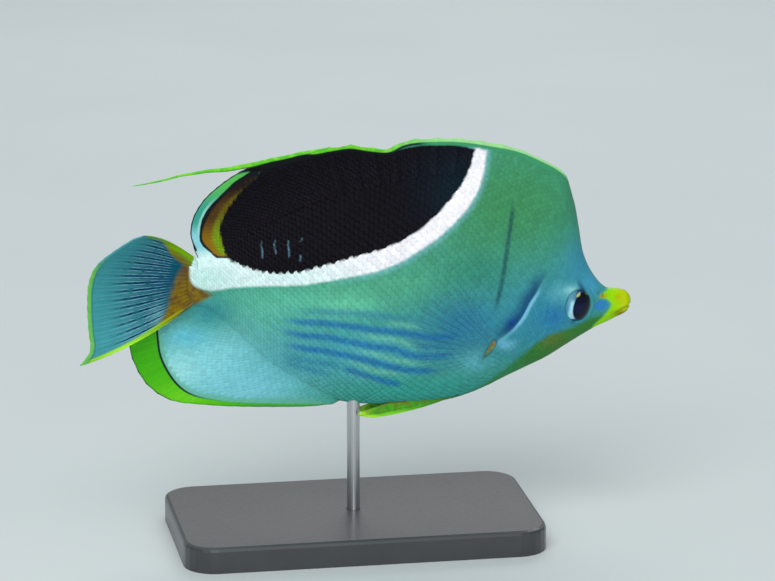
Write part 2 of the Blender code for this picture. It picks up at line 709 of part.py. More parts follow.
def stand():
    bm = bmesh.new()
    bmesh.ops.create_cube(bm, size=1.0)
    for vert in bm.verts:
        vert.co = Vector([c * s * MM for c, s in zip(vert.co, BASE_SIZE)])
        vert.co.z += BASE_SIZE[2] / 2 * MM
    upright = [e for e in bm.edges if abs(e.verts[0].co.z - e.verts[1].co.z) > 0.5 * BASE_SIZE[2] * MM]
    bmesh.ops.bevel(bm, geom=upright, offset=BASE_CORNER * MM, segments=6, affect="EDGES", profile=0.5)
    top = [e for e in bm.edges if all(v.co.z > 0.9 * BASE_SIZE[2] * MM for v in e.verts)]
    bmesh.ops.bevel(bm, geom=top, offset=BASE_EDGE * MM, segments=2, affect="EDGES", profile=0.5)
    mesh = bpy.data.meshes.new("stand_base")
    bm.to_mesh(mesh)
    bm.free()
    base = add_object("stand_base", mesh, parts, COLOURS["stand"])
    top_z = BASE_SIZE[2]
    hole = drill("base_hole", Vector((0, 0, top_z + GAP)), Vector((0, 0, 1)), ROD_RADIUS + GAP,
                 ROD_IN_BASE + 2 * GAP)
    cut(base, hole, "DIFFERENCE")

    bottom = top_z - ROD_IN_BASE
    bm = bmesh.new()
    bmesh.ops.create_cone(bm, cap_ends=True, segments=24, radius1=ROD_RADIUS * MM,
                          radius2=ROD_RADIUS * MM, depth=(ROD_TOP_Z - bottom) * MM)
    bmesh.ops.translate(bm, verts=bm.verts, vec=(0, 0, (ROD_TOP_Z + bottom) / 2 * MM))
    mesh = bpy.data.meshes.new("stand_rod")
    bm.to_mesh(mesh)
    bm.free()
    add_object("stand_rod", mesh, parts, COLOURS["stand"])


stand()
bpy.data.objects.remove(body, do_unlink=True)
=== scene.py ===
import math

import bpy
import numpy as np
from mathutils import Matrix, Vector


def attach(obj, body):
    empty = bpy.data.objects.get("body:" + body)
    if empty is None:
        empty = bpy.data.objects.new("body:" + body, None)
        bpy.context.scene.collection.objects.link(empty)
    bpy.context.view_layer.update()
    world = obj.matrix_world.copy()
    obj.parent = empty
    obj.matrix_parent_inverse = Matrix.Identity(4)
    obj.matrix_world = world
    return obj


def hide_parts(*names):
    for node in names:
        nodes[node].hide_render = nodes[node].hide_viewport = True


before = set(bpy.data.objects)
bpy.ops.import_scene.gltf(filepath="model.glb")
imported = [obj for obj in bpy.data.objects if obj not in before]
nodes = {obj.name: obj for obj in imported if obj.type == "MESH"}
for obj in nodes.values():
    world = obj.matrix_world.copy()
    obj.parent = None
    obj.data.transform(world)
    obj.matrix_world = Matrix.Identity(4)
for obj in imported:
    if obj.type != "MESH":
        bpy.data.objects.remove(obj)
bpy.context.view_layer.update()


# Body skin
# The painted skin of the cast: one unbroken surface over head, trunk and tail stalk, lofted over the
# same stations as the solids. Lips, nostrils, eye rims and gill covers are raised in it.

MM = 0.001
STATIONS = [
    (107.9, 91.0, 107.6, 85.6, 4.8, 0.50, 0.50),
    (106.8, 92.3, 106.4, 84.2, 6.6, 0.50, 0.50),
    (104.2, 93.2, 103.6, 82.7, 7.2, 0.50, 0.50),
    (101.5, 93.5, 100.3, 81.0, 7.8, 0.50, 0.50),
    (98.6, 94.2, 95.2, 79.0, 9.2, 0.50, 0.50),
    (95.2, 97.6, 89.0, 75.8, 12.6, 0.50, 0.50),
    (91.7, 103.3, 82.3, 72.0, 17.0, 0.52, 0.50),
    (89.3, 110.0, 74.6, 67.5, 19.6, 0.55, 0.50),
    (87.8, 119.2, 66.8, 64.0, 21.6, 0.60, 0.52),
    (85.8, 129.2, 59.0, 60.5, 23.0, 0.68, 0.55),
    (81.5, 139.0, 51.3, 57.0, 24.0, 0.74, 0.58),
    (70.0, 143.0, 42.3, 53.8, 24.6, 0.80, 0.58),
    (56.5, 145.2, 33.0, 52.0, 24.6, 0.82, 0.58),
    (38.5, 146.0, 20.2, 51.5, 24.0, 0.82, 0.60),
    (17.5, 143.8, 6.6, 52.2, 22.4, 0.82, 0.64),
    (-4.0, 139.7, -7.0, 54.6, 20.0, 0.80, 0.72),
    (-21.0, 134.5, -20.6, 60.4, 17.0, 0.76, 0.76),
    (-36.5, 127.4, -35.3, 70.9, 13.6, 0.70, 0.72),
    (-48.6, 119.6, -47.0, 83.1, 10.4, 0.64, 0.66),
    (-57.5, 114.2, -56.7, 92.7, 8.0, 0.58, 0.58),
    (-63.3, 112.4, -63.3, 96.1, 6.6, 0.54, 0.54),
]
NAPE = 10
WIDEST_AT = 0.46
HEAD_RIDGE, FIN_RIDGE = 0.5, 0.9
BEND_START_X, BEND_END_X, BEND_SIDEWAYS = -20.0, -62.5, -2.5
HEAD_RINGS, TRUNK_RINGS, SIDE_COLUMNS = 190, 180, 105
SNOUT_CAP = (0.999, 0.98, 0.94, 0.86, 0.72, 0.52, 0.28)
SNOUT_CAP_LENGTH = 0.9
STALK_CAP = (0.3, 0.6, 0.85, 0.97, 0.999)
STALK_CAP_LENGTH = 1.6


def curve_through(rows, at):
    """Catmull-Rom through rows of numbers, sampled at fractional row numbers."""
    rows = np.asarray(rows, float)
    padded = np.vstack([2 * rows[0] - rows[1], rows, 2 * rows[-1] - rows[-2]])
    at = np.clip(np.asarray(at, float), 0, len(rows) - 1)
    step = np.minimum(at.astype(int), len(rows) - 2)
    t = (at - step)[:, None]
    before, here, after, beyond = (padded[step + k] for k in range(4))
    return 0.5 * (2 * here + (after - before) * t + (2 * before - 5 * here + 4 * after - beyond) * t ** 2
                  + (3 * here - before - 3 * after + beyond) * t ** 3)


def smooth_line(rows, count):
    """A smooth open line through rows of numbers."""
    return curve_through(rows, np.linspace(0, len(rows) - 1, count))


def bend_at(x):
    swing = np.clip((BEND_START_X - x) / (BEND_START_X - BEND_END_X), 0.0, None)
    return BEND_SIDEWAYS * swing ** 3


def evenly(line, count):
    """The line with its points spread evenly along its length."""
    reached = np.concatenate([[0.0], np.cumsum(np.linalg.norm(np.diff(line, axis=0), axis=1))])
    wanted = np.linspace(0, reached[-1], count)
    return np.stack([np.interp(wanted, reached, line[:, axis]) for axis in range(line.shape[1])], axis=1)


def section(row, ridge):
    """One ring of the body: up the left flank, over the back, and down the right flank."""
    turn = np.linspace(0, math.pi, 241)
    reach = 1 - np.cos(turn)
    low = turn <= math.pi / 2
    height = np.where(low, WIDEST_AT * reach, WIDEST_AT + (1 - WIDEST_AT) * (reach - 1))
    sharpness = np.where(low, row[6], row[5])
    y = ridge + (row[4] / 2 - ridge) * np.abs(np.sin(turn)) ** (2 * sharpness)
    x = row[2] + (row[0] - row[2]) * height
    z = row[3] + (row[1] - row[3]) * height
    flank = evenly(np.stack([x, y, z], axis=1), SIDE_COLUMNS)
    rise = (flank[-1] - flank[0]) / np.linalg.norm(flank[-1] - flank[0])
    back = flank[-1] * (1, 0, 1) + rise * ridge * 0.35
    belly = flank[0] * (1, 0, 1) - rise * ridge * 0.35
    return np.vstack([flank, back, flank[::-1] * (1, -1, 1), belly])


def cap(ring, shares, length):
    """Rings that close one end of the body, each a share of the way to its tip."""
    middle = ring.mean(0)
    return [middle + (ring - middle) * math.sqrt(1 - far ** 2) + (length * far, 0, 0) for far in shares]


def body_rings():
    at = np.concatenate([np.linspace(0, NAPE, HEAD_RINGS, endpoint=False),
                         np.linspace(NAPE, len(STATIONS) - 1, TRUNK_RINGS)])
    rows = curve_through(STATIONS, at)
    ridges = HEAD_RIDGE + (FIN_RIDGE - HEAD_RIDGE) * np.clip(at - NAPE + 1, 0, 1)
    rings = [section(row, ridge) for row, ridge in zip(rows, ridges)]
    rings = cap(rings[0], SNOUT_CAP, SNOUT_CAP_LENGTH) + rings + cap(rings[-1], STALK_CAP, -STALK_CAP_LENGTH)
    rings = np.array(rings)
    rings[:, :, 1] += bend_at(rings[:, :, 0])
    return rings


def outward_normals(grid, wrapped=True):
    """Normals of a grid of points whose second direction may close on itself."""
    if wrapped:
        across = np.roll(grid, -1, axis=1) - np.roll(grid, 1, axis=1)
    else:
        across = np.gradient(grid, axis=1)
    normal = np.cross(np.gradient(grid, axis=0), across)
    return normal / np.maximum(np.linalg.norm(normal, axis=2, keepdims=True), 1e-9)


def nearest_on(flat, line):
    """Each point's distance from an open line, its share of the line's length, and its side."""
    line = np.asarray(line, float)
    start, run = line[:-1], np.diff(line, axis=0)
    lengths = np.linalg.norm(run, axis=1)
    reached = np.concatenate([[0.0], np.cumsum(lengths)])
    parts = []
    for few in np.array_split(np.asarray(flat, float), max(1, len(flat) // 20000)):
        offset = few[:, None, :] - start[None]
        share = np.clip((offset * run).sum(-1) / lengths ** 2, 0, 1)
        distance = np.linalg.norm(offset - share[..., None] * run, axis=-1)
        pick = distance.argmin(1)
        row = np.arange(len(few))
        side = run[pick, 0] * offset[row, pick, 1] - run[pick, 1] * offset[row, pick, 0]
        travelled = (reached[pick] + share[row, pick] * lengths[pick]) / reached[-1]
        parts.append(np.stack([distance[row, pick], travelled, np.sign(side)], axis=1))
    return np.concatenate(parts).T


def within(flat, outline):
    """Signed distance from a closed outline, positive inside it."""
    corners = np.asarray(outline, float)
    distance = nearest_on(flat, np.vstack([corners, corners[:1]]))[0]
    odd = np.zeros(len(flat), bool)
    for (ax, az), (bx, bz) in zip(corners, np.roll(corners, -1, axis=0)):
        crosses = (az > flat[:, 1]) != (bz > flat[:, 1])
        odd ^= crosses & (flat[:, 0] < (bx - ax) * (flat[:, 1] - az) / (bz - az + 1e-12) + ax)
    return np.where(odd, distance, -distance)


def smooth_step(value, start, end):
    t = np.clip((value - start) / (end - start), 0, 1)
    return t * t * (3 - 2 * t)


def hump(value, middle, width):
    return np.exp(-((value - middle) / width) ** 2)


GILL_EDGE = [(75.5, 105.0), (73.4, 102.5), (70.9, 99.6), (69.0, 95.8), (66.7, 92.4), (63.6, 86.5),
             (59.8, 81.8), (55.2, 78.0), (51.9, 74.5), (50.6, 70.0), (52.0, 64.5), (56.5, 61.0)]
CHEEK_GROOVE = [(76.5, 97.5), (75.2, 92.0), (74.6, 86.0), (72.0, 80.0), (67.0, 75.0), (60.0, 71.5)]
MOUTH = [(110.5, 87.6), (107.4, 86.8), (104.4, 85.4), (101.6, 83.8)]
NOSTRILS = [(95.2, 93.0), (97.2, 92.0)]
EYE_CENTRE, EYE_RADIUS, EYE_TALLNESS = (86.4, 89.8), 6.5, 1.1
PECTORAL_ROOT = [(53.2, 77.8), (49.0, 71.0)]
HEAD_ENDS_X = 40
GILL_RELIEF, CHEEK_DEPTH, CHEEK_RIDGE = 0.75, 0.28, 0.22
UPPER_LIP, LOWER_LIP, MOUTH_DEPTH = 0.26, 0.30, 0.75
NOSTRIL_RIM, NOSTRIL_DEPTH = 0.22, 0.8
EYE_RIM, EYE_SOCKET_DEPTH = 0.42, 1.9
PECTORAL_ROOT_SWELL = 0.6
gill_line = smooth_line(GILL_EDGE, 45)


def carve_head(points, normals):
    """How far each point of the head stands out of, or sinks into, the smooth loft."""
    flat = points[:, [0, 2]]
    on_head = flat[:, 0] > HEAD_ENDS_X
    out = np.zeros(len(points))
    near = flat[on_head]
    height = np.zeros(len(near))

    distance, share, side = nearest_on(near, gill_line)
    ahead = distance * side
    fade = smooth_step(share, 0.02, 0.16) * (1 - smooth_step(share, 0.58, 0.8))
    height += fade * GILL_RELIEF * smooth_step(ahead, -0.25, 0.35) * np.exp(-np.maximum(ahead, 0) / 7.0)
    height -= fade * GILL_RELIEF * smooth_step(-ahead, -0.2, 0.5) * np.exp(-np.maximum(-ahead, 0) / 2.0)

    distance, share, side = nearest_on(near, smooth_line(CHEEK_GROOVE, 21))
    fade = smooth_step(share, 0.0, 0.2) * (1 - smooth_step(share, 0.75, 1.0))
    height -= fade * CHEEK_DEPTH * hump(distance * side, -0.5, 0.9)
    height += fade * CHEEK_RIDGE * hump(distance * side, 0.9, 1.1)

    distance, share, side = nearest_on(near, smooth_line(MOUTH, 13))
    below = distance * side
    fade = (1 - smooth_step(share, 0.7, 1.0)) * (1 - 0.6 * smooth_step(near[:, 0], 106.6, 108.4))
    height += fade * (LOWER_LIP * hump(below, 1.3, 0.9) + UPPER_LIP * hump(below, -1.3, 0.9))
    height -= (1 - 0.7 * smooth_step(share, 0.6, 1.0)) * MOUTH_DEPTH * hump(distance, 0.0, 0.45)

    for x, z in NOSTRILS:
        away = np.hypot(near[:, 0] - x, near[:, 1] - z)
        height += NOSTRIL_RIM * hump(away, 0.85, 0.3) - NOSTRIL_DEPTH * hump(away, 0.0, 0.5)

    for side in (-1, 1):
        mine = np.sign(points[on_head, 1]) == side
        this_side = points[points[:, 1] * side > 0]
        middle = this_side[np.linalg.norm(this_side[:, [0, 2]] - EYE_CENTRE, axis=1).argmin()]
        away = np.linalg.norm((points[on_head] - middle) * (EYE_TALLNESS, 1, 1), axis=1)
        rim = EYE_RIM * hump(away, 7.0, 0.75) - EYE_SOCKET_DEPTH * (1 - smooth_step(away, 5.3, 6.35))
        height += np.where(mine, rim, 0.0)

    height += PECTORAL_ROOT_SWELL * hump(nearest_on(near, PECTORAL_ROOT)[0], 0.0, 1.7)
    out[on_head] = height
    return out


def quads_of(rows, columns, wrapped):
    """Corner numbers of a grid's faces."""
    r, c = np.meshgrid(np.arange(rows - 1), np.arange(columns if wrapped else columns - 1), indexing="ij")
    after = (c + 1) % columns
    return np.stack([r * columns + c, r * columns + after, (r + 1) * columns + after,
                     (r + 1) * columns + c], axis=-1).reshape(-1, 4)


def new_piece(name, points, quads, uv=None, uv_name="OFBake"):
    """A smooth-shaded mesh object from points in millimetres and four-cornered faces."""
    mesh = bpy.data.meshes.new(name)
    mesh.vertices.add(len(points))
    mesh.vertices.foreach_set("co", (np.asarray(points) * MM).astype(np.float32).ravel())
    mesh.loops.add(quads.size)
    mesh.loops.foreach_set("vertex_index", quads.astype(np.int32).ravel())
    mesh.polygons.add(len(quads))
    mesh.polygons.foreach_set("loop_start", np.arange(0, quads.size, 4, dtype=np.int32))
    mesh.update(calc_edges=True)
    if uv is not None:
        mesh.uv_layers.new(name=uv_name).data.foreach_set("uv", uv.astype(np.float32).ravel())
    mesh.shade_smooth()
    piece = bpy.data.objects.new(name, mesh)
    bpy.context.scene.collection.objects.link(piece)
    return piece


def write_field(piece, name, values):
    field = piece.data.attributes.new(name, "FLOAT", "POINT")
    field.data.foreach_set("value", np.asarray(values, np.float32))


skin_grid = body_rings()
RINGS, AROUND = skin_grid.shape[:2]
loft_normals = outward_normals(skin_grid)
for _ in range(2):
    loft_normals[1:-1] = (loft_normals[:-2] + loft_normals[1:-1] + loft_normals[2:]) / 3
loft_normals /= np.linalg.norm(loft_normals, axis=2, keepdims=True)
raised = carve_head(skin_grid.reshape(-1, 3), loft_normals.reshape(-1, 3)).reshape(RINGS, AROUND, 1)
skin_grid = skin_grid + loft_normals * raised
skin_normals = outward_normals(skin_grid)
skin_quads = quads_of(RINGS, AROUND, True)
corner_row = np.stack([skin_quads[:, 0] // AROUND] * 2 + [skin_quads[:, 2] // AROUND] * 2, axis=1)
corner_column = (skin_quads[:, :1] % AROUND) + np.array([0, 1, 1, 0])
skin_uv = np.stack([corner_column / AROUND, corner_row / (RINGS - 1)], axis=-1)
skin = new_piece("skin", skin_grid.reshape(-1, 3), skin_quads[:, ::-1], skin_uv[:, ::-1])


# Markings
# The colour boundaries of this fish, as outlines on its flank in x and z. Skin, scales and fins all
# read the same fields, so a band runs unbroken from the body up into the fins.

OUTLINES = {
    "blotch": [
        (47.2, 151.0), (45.6, 145.1), (41.3, 138.1), (36.3, 132.9), (31.1, 127.6), (24.4, 122.3),
        (16.6, 118.0), (8.9, 115.2), (-2.6, 112.5), (-14.0, 109.3), (-21.6, 107.6), (-29.2, 107.0),
        (-36.7, 108.3), (-42.3, 110.3), (-46.9, 112.4), (-49.0, 114.6), (-50.5, 119.5), (-51.2, 123.8),
        (-50.2, 127.6), (-48.0, 131.7), (-44.9, 135.7), (-41.6, 139.7), (-36.5, 143.2), (-35.6, 145.6),
        (-39.5, 145.6), (-44.4, 145.0), (-41.0, 147.6), (-36.0, 148.9), (-27.0, 150.6), (-20.2, 151.6),
        (-8.8, 152.3), (-1.1, 153.0), (6.6, 151.9), (15.0, 151.1), (18.2, 152.1), (25.9, 153.2),
        (33.6, 153.2), (40.0, 152.8),
    ],
    "band": [
        (51.6, 150.2), (50.9, 146.6), (50.2, 143.1), (47.4, 136.1), (43.2, 130.1), (37.9, 124.8),
        (31.9, 119.8), (24.2, 114.8), (16.4, 110.5), (8.7, 107.6), (-2.7, 105.3), (-14.1, 103.6),
        (-21.7, 102.6), (-33.0, 102.5), (-44.4, 102.4), (-53.8, 101.5), (-59.6, 102.6), (-62.6, 104.7),
        (-63.3, 107.8), (-62.9, 111.6), (-61.2, 114.2), (-54.0, 113.4), (-48.0, 113.2), (-40.0, 122.0),
        (0.0, 130.0), (30.0, 140.0), (45.0, 150.6),
    ],
    "rear_white": [
        (-34.0, 147.6), (-48.0, 143.8), (-57.4, 137.4), (-62.4, 129.0), (-64.0, 122.0), (-66.0, 116.0),
        (-63.0, 110.0), (-50.0, 110.0), (-40.0, 114.0), (-34.0, 130.0),
    ],
    "edging": [
        (-36.5, 146.9), (-39.1, 145.8), (-45.6, 141.9), (-49.7, 138.0), (-54.1, 134.0), (-56.4, 131.1),
        (-58.0, 127.9), (-58.8, 124.9), (-59.1, 121.8), (-58.9, 119.7), (-57.7, 117.6), (-55.2, 115.4),
        (-52.8, 113.5), (-20.0, 113.5), (-20.0, 146.9),
    ],
    "orange": [
        (-34.9, 145.0), (-39.9, 143.8), (-42.6, 142.2), (-46.2, 139.8), (-48.4, 138.0), (-50.8, 135.6),
        (-52.8, 133.4), (-54.6, 131.2), (-55.9, 129.0), (-57.0, 126.9), (-57.8, 124.8), (-58.3, 122.8),
        (-58.3, 120.8), (-57.6, 118.9), (-56.4, 117.4), (-54.3, 115.1), (-52.3, 113.9), (-20.0, 113.9),
        (-20.0, 144.8),
    ],
    "gold": [
        (-33.4, 144.4), (-37.5, 143.0), (-39.6, 141.2), (-42.3, 139.2), (-44.9, 137.3), (-47.3, 135.3),
        (-49.3, 133.2), (-50.9, 131.1), (-52.1, 128.9), (-53.0, 126.8), (-53.7, 124.7), (-54.1, 122.6),
        (-54.2, 120.6), (-53.7, 118.4), (-52.6, 116.2), (-51.0, 114.6), (-20.0, 114.6), (-20.0, 144.4),
    ],
    "root_orange": [
        (-55.2, 99.6), (-57.6, 101.0), (-61.0, 103.2), (-62.6, 108.0), (-61.8, 113.0), (-65.0, 113.6),
        (-67.0, 110.6), (-69.2, 106.8), (-70.8, 101.6), (-72.0, 96.0), (-74.4, 91.2), (-77.0, 88.0),
        (-71.0, 89.4), (-66.0, 93.4), (-62.6, 95.6), (-58.6, 97.4),
    ],
    "snout": [
        (112.0, 94.5), (104.5, 95.0), (101.6, 94.6), (99.0, 93.6), (95.6, 92.1), (95.3, 91.2), (98.6, 90.3),
        (100.4, 88.4), (99.6, 86.4), (97.4, 84.0), (95.4, 82.0), (93.4, 80.2), (92.6, 78.0), (100.0, 74.0),
        (112.0, 80.0),
    ],
    "chin": [
        (96.0, 84.6), (91.5, 83.9), (86.5, 82.0), (79.9, 80.2), (75.0, 79.0), (69.2, 75.6), (63.7, 70.4),
        (58.2, 65.0), (51.5, 59.2), (44.0, 54.6), (36.0, 51.5), (36.0, 44.0), (112.0, 44.0), (112.0, 82.0),
        (100.0, 82.0),
    ],
}
SOFT_LINES = {
    "stripes": (1.5, 0.2, 0.85, [
        [(-33.7, 90.0), (-22.2, 88.2), (-12.6, 87.5), (-3.0, 86.0), (6.6, 84.4), (16.3, 82.9),
         (23.3, 81.6), (28.7, 80.5), (36.5, 80.6), (43.0, 82.0)],
        [(-34.5, 86.7), (-22.3, 83.0), (-12.6, 81.9), (-3.0, 79.7), (6.6, 77.4), (14.4, 76.1),
         (20.2, 73.6), (27.9, 72.6), (36.5, 73.0), (42.0, 74.5)],
        [(-33.0, 80.6), (-20.4, 77.4), (-12.7, 76.2), (-3.0, 73.8), (4.7, 71.6), (11.5, 69.5),
         (18.2, 67.5), (26.0, 66.6), (35.5, 67.2)],
        [(-7.0, 69.3), (-2.0, 67.6), (2.5, 65.8), (8.7, 63.5), (19.0, 60.6)],
    ]),
    "faint_stripes": (1.6, 0.3, 0.7, [
        [(-30.0, 92.8), (-14.5, 92.1), (0.9, 90.9), (16.3, 88.6), (28.0, 86.2)],
        [(-32.0, 75.4), (-19.3, 72.0), (-10.6, 70.5), (-2.9, 68.4)],
        [(-30.0, 72.0), (-24.0, 70.4), (-12.4, 66.9), (-7.5, 65.8)],
        [(22.0, 79.0), (25.0, 76.8), (30.0, 76.6), (38.0, 78.0)],
    ]),
    "pale_lines": (1.0, 0.35, 0.7, [
        [(9.0, 87.7), (11.7, 87.3), (17.8, 86.0), (26.0, 84.2)],
        [(-2.0, 83.2), (6.6, 81.4), (14.4, 80.0), (20.2, 77.8), (26.0, 74.2)],
        [(-5.0, 77.9), (4.7, 75.1), (11.5, 72.8), (18.2, 70.9), (30.0, 68.8)],
        [(-8.0, 72.8), (-0.1, 70.6), (6.6, 67.5), (13.4, 66.2), (22.0, 65.2)],
        [(-6.0, 68.2), (0.0, 66.3), (10.5, 61.6)],
    ]),
    "nape": (0.9, 0.25, 0.8, [
        [(61.2, 136.0), (60.3, 128.2), (58.7, 119.1), (57.3, 111.3), (55.9, 102.8), (54.1, 94.9),
         (52.2, 87.0)],
    ]),
    "eye_bar": (1.25, 0.01, 0.1, [
        [(88.2, 93.8), (88.0, 95.6), (87.0, 97.8), (85.7, 100.6), (84.9, 104.4), (85.4, 108.0)],
        [(85.0, 85.4), (84.2, 83.8), (83.4, 82.2), (82.6, 80.8)],
    ]),
    "fin_spot": (1.15, 0.6, 0.8, [
        [(47.4, 68.4), (48.8, 70.8), (50.4, 73.2), (52.0, 75.6), (54.0, 79.2)],
    ]),
    "scratches": (0.35, 0.3, 0.7, [
        [(-35.2, 120.8), (-36.0, 118.0), (-35.5, 114.8), (-36.3, 111.4)],
        [(-30.2, 121.2), (-31.0, 118.0), (-30.6, 115.2), (-31.2, 112.8)],
        [(-25.0, 121.4), (-25.9, 118.0), (-25.4, 114.6), (-26.1, 111.4)],
        [(-20.4, 121.0), (-21.2, 118.4)],
        [(-20.9, 115.0), (-21.8, 110.6)],
    ]),
}
anal_line = smooth_line([
    (-75.2, 91.5), (-75.7, 88.0), (-75.6, 85.0), (-74.6, 76.0), (-71.6, 68.8), (-67.4, 62.9), (-61.9, 59.1),
    (-53.7, 56.8), (-44.1, 55.2), (-27.8, 53.9), (-12.0, 53.1),
], 60)
CHART_STEP = 0.4
CHART_X = np.arange(-114.0, 116.0, CHART_STEP)
CHART_Z = np.arange(42.0, 162.0, CHART_STEP)


def rounded(outline):
    closed = np.vstack([outline, outline[:1]])
    return curve_through(closed, np.linspace(0, len(outline), 3 * len(outline), endpoint=False))


def soft_lines(flat, width, faded_in, faded_out, strokes):
    """How strongly each point is covered by soft strokes that fade at both ends."""
    most = np.zeros(len(flat))
    for stroke in strokes:
        distance, share, _ = nearest_on(flat, smooth_line(stroke, 4 * len(stroke)))
        fade = smooth_step(share, 0.0, faded_in) * (1 - smooth_step(share, faded_out, 1.0))
        most = np.maximum(most, fade * hump(distance, 0.0, width))
    return most


def left_of(flat, line):
    """Signed distance from an open line, positive to its left."""
    distance, _, side = nearest_on(flat, line)
    return distance * side


def gill_strength(flat):
    """How dark the shadow behind the gill cover is, by the share of its edge."""
    share = nearest_on(flat, gill_line)[1]
    return smooth_step(share, 0.0, 0.2) * (1 - smooth_step(share, 0.5, 0.72))


def gill_highlight(flat):
    """How strong the painted highlight along the gill cover's edge is, by the share of its length."""
    share = nearest_on(flat, gill_line)[1]
    lower = (1 - 0.7 * smooth_step(share, 0.4, 0.56)) * (1 - smooth_step(share, 0.56, 0.74))
    return smooth_step(share, 0.12, 0.24) * lower


def chart_of(measure, *given):
    """A measure of every place on a grid over the flank."""
    gx, gz = np.meshgrid(CHART_X, CHART_Z, indexing="ij")
    return measure(np.stack([gx.ravel(), gz.ravel()], axis=1), *given).reshape(gx.shape)


def read_grid(grid, row, column, wrapped):
    """Grid values at fractional rows and columns."""
    row = np.clip(row, 0, grid.shape[0] - 1.001)
    if wrapped:
        column = column % grid.shape[1]
    else:
        column = np.clip(column, 0, grid.shape[1] - 1.001)
    i, j = row.astype(int), column.astype(int)
    u, v = (row - i)[..., None], (column - j)[..., None]
    beside = (j + 1) % grid.shape[1]
    return (grid[i, j] * (1 - u) * (1 - v) + grid[i + 1, j] * u * (1 - v)
            + grid[i, beside] * (1 - u) * v + grid[i + 1, beside] * u * v)


OUTLINES["band"] = rounded(OUTLINES["band"])
charts = {name: chart_of(within, outline) for name, outline in OUTLINES.items()}
charts.update({name: chart_of(soft_lines, *strokes) for name, strokes in SOFT_LINES.items()})
charts["gill"] = chart_of(left_of, gill_line)
charts["gill_strength"] = chart_of(gill_strength)
charts["gill_highlight"] = chart_of(gill_highlight)
charts["anal_edge"] = chart_of(left_of, anal_line)


def read_chart(name, flat):
    """One field of the markings at the given x and z."""
    row = (flat[:, 0] - CHART_X[0]) / CHART_STEP
    column = (flat[:, 1] - CHART_Z[0]) / CHART_STEP
    return read_grid(charts[name][..., None], row, column, False)[:, 0]


def mark(piece, flat):
    """Writes every field of the markings onto a piece."""
    for name in charts:
        write_field(piece, name, read_chart(name, flat))


class Shade:
    """A shader socket: arithmetic on it adds Math nodes, and make() adds any other node."""

    def __init__(self, tree, socket=None):
        self.tree = tree
        self.socket = socket

    def feed(self, target, value):
        if isinstance(value, Shade):
            self.tree.links.new(value.socket, target)
        else:
            target.default_value = value

    def make(self, kind, settings, values, output=0):
        node = self.tree.nodes.new(kind)
        for name, value in settings.items():
            setattr(node, name, value)
        for name, value in values.items():
            self.feed(node.inputs[name], value)
        return Shade(self.tree, node.outputs[output])

    def math(self, operation, *values):
        return self.make("ShaderNodeMath", {"operation": operation}, dict(enumerate(values)))

    def vector(self, operation, *values, output="Vector"):
        return self.make("ShaderNodeVectorMath", {"operation": operation}, dict(enumerate(values)), output)

    def __add__(self, other):
        return self.math("ADD", self, other)

    def __sub__(self, other):
        return self.math("SUBTRACT", self, other)

    def __rsub__(self, other):
        return self.math("SUBTRACT", other, self)

    def __mul__(self, other):
        return self.math("MULTIPLY", self, other)

    def __pow__(self, other):
        return self.math("POWER", self, other)

    __radd__ = __add__
    __rmul__ = __mul__

    def rise(self, start, end):
        """0 below start, 1 above end, smooth between."""
        return self.make("ShaderNodeMapRange", {"interpolation_type": "SMOOTHSTEP"},
                         {0: self, 1: start, 2: end, 3: 0.0, 4: 1.0})

    def fall(self, start, end):
        """1 below start, 0 above end, smooth between."""
        return 1 - self.rise(start, end)

    def read(self, name):
        """A field written on the piece, such as the distance inside the blotch."""
        return self.make("ShaderNodeAttribute", {"attribute_name": name}, {}, "Fac")

    def place(self):
        """The place on the fish, in metres."""
        return self.make("ShaderNodeTexCoord", {}, {}, "Object")

    def where(self, axis):
        """The place along one axis of the fish, in millimetres."""
        return self.make("ShaderNodeSeparateXYZ", {}, {0: self.place()}, axis) * 1000

    def noise(self, scale, detail=2.0, stretch=(1, 1, 1)):
        """Noise fixed to the fish, with scale counted per metre, from 0 to 1."""
        place = self.vector("MULTIPLY", self.place(), stretch)
        return self.make("ShaderNodeTexNoise", {}, {"Vector": place, "Scale": scale, "Detail": detail}, "Fac")

    def wash(self, x, z, wide, high):
        """A soft round patch on both flanks, 1 in its middle, sizes in millimetres."""
        off = self.vector("SUBTRACT", self.place(), (x * MM, 0, z * MM))
        off = self.vector("MULTIPLY", off, (1 / (wide * MM), 0, 1 / (high * MM)))
        return self.math("EXPONENT", self.vector("DOT_PRODUCT", off, off, output="Value") * -1.0)

    def over(self, under, *layers):
        """A colour with others laid over it in turn, each paired with its mask."""
        for colour, mask in layers:
            sockets = {0: mask, 6: paint(under), 7: paint(colour)}
            under = self.make("ShaderNodeMix", {"data_type": "RGBA"}, sockets, 2)
        return under

    def tinted(self, colour, share):
        """A colour made lighter or darker by a factor about 1."""
        return self.make("ShaderNodeVectorMath", {"operation": "SCALE"}, {0: colour, "Scale": share})

    def bump(self, strength, distance, height):
        sockets = {"Strength": strength, "Distance": distance, "Height": height}
        return self.make("ShaderNodeBump", {}, sockets, "Normal")


def paint(colour):
    """A scene-linear colour from 0-255 values. A socket stays as it is."""
    if isinstance(colour, Shade):
        return colour
    return tuple(((c / 255 + 0.055) / 1.055) ** 2.4 if c > 10 else c / 255 / 12.92 for c in colour) + (1.0,)


def new_finish(name, roughness, coat=0.0, shine=0.5):
    """A material with what is constant set on its shader, and a shade that adds nodes to it."""
    material = bpy.data.materials.new(name)
    material.use_nodes = True
    shader = material.node_tree.nodes["Principled BSDF"]
    shader.inputs["Specular IOR Level"].default_value = shine
    shader.inputs["Roughness"].default_value = roughness
    shader.inputs["Coat Weight"].default_value = coat
    shader.inputs["Coat Roughness"].default_value = 0.15
    return material, Shade(material.node_tree)


def complete(material, looks):
    """Feeds what varies over the surface to the material's shader."""
    tree = material.node_tree
    for name, value in looks.items():
        Shade(tree).feed(tree.nodes["Principled BSDF"].inputs[name], value)
    return material


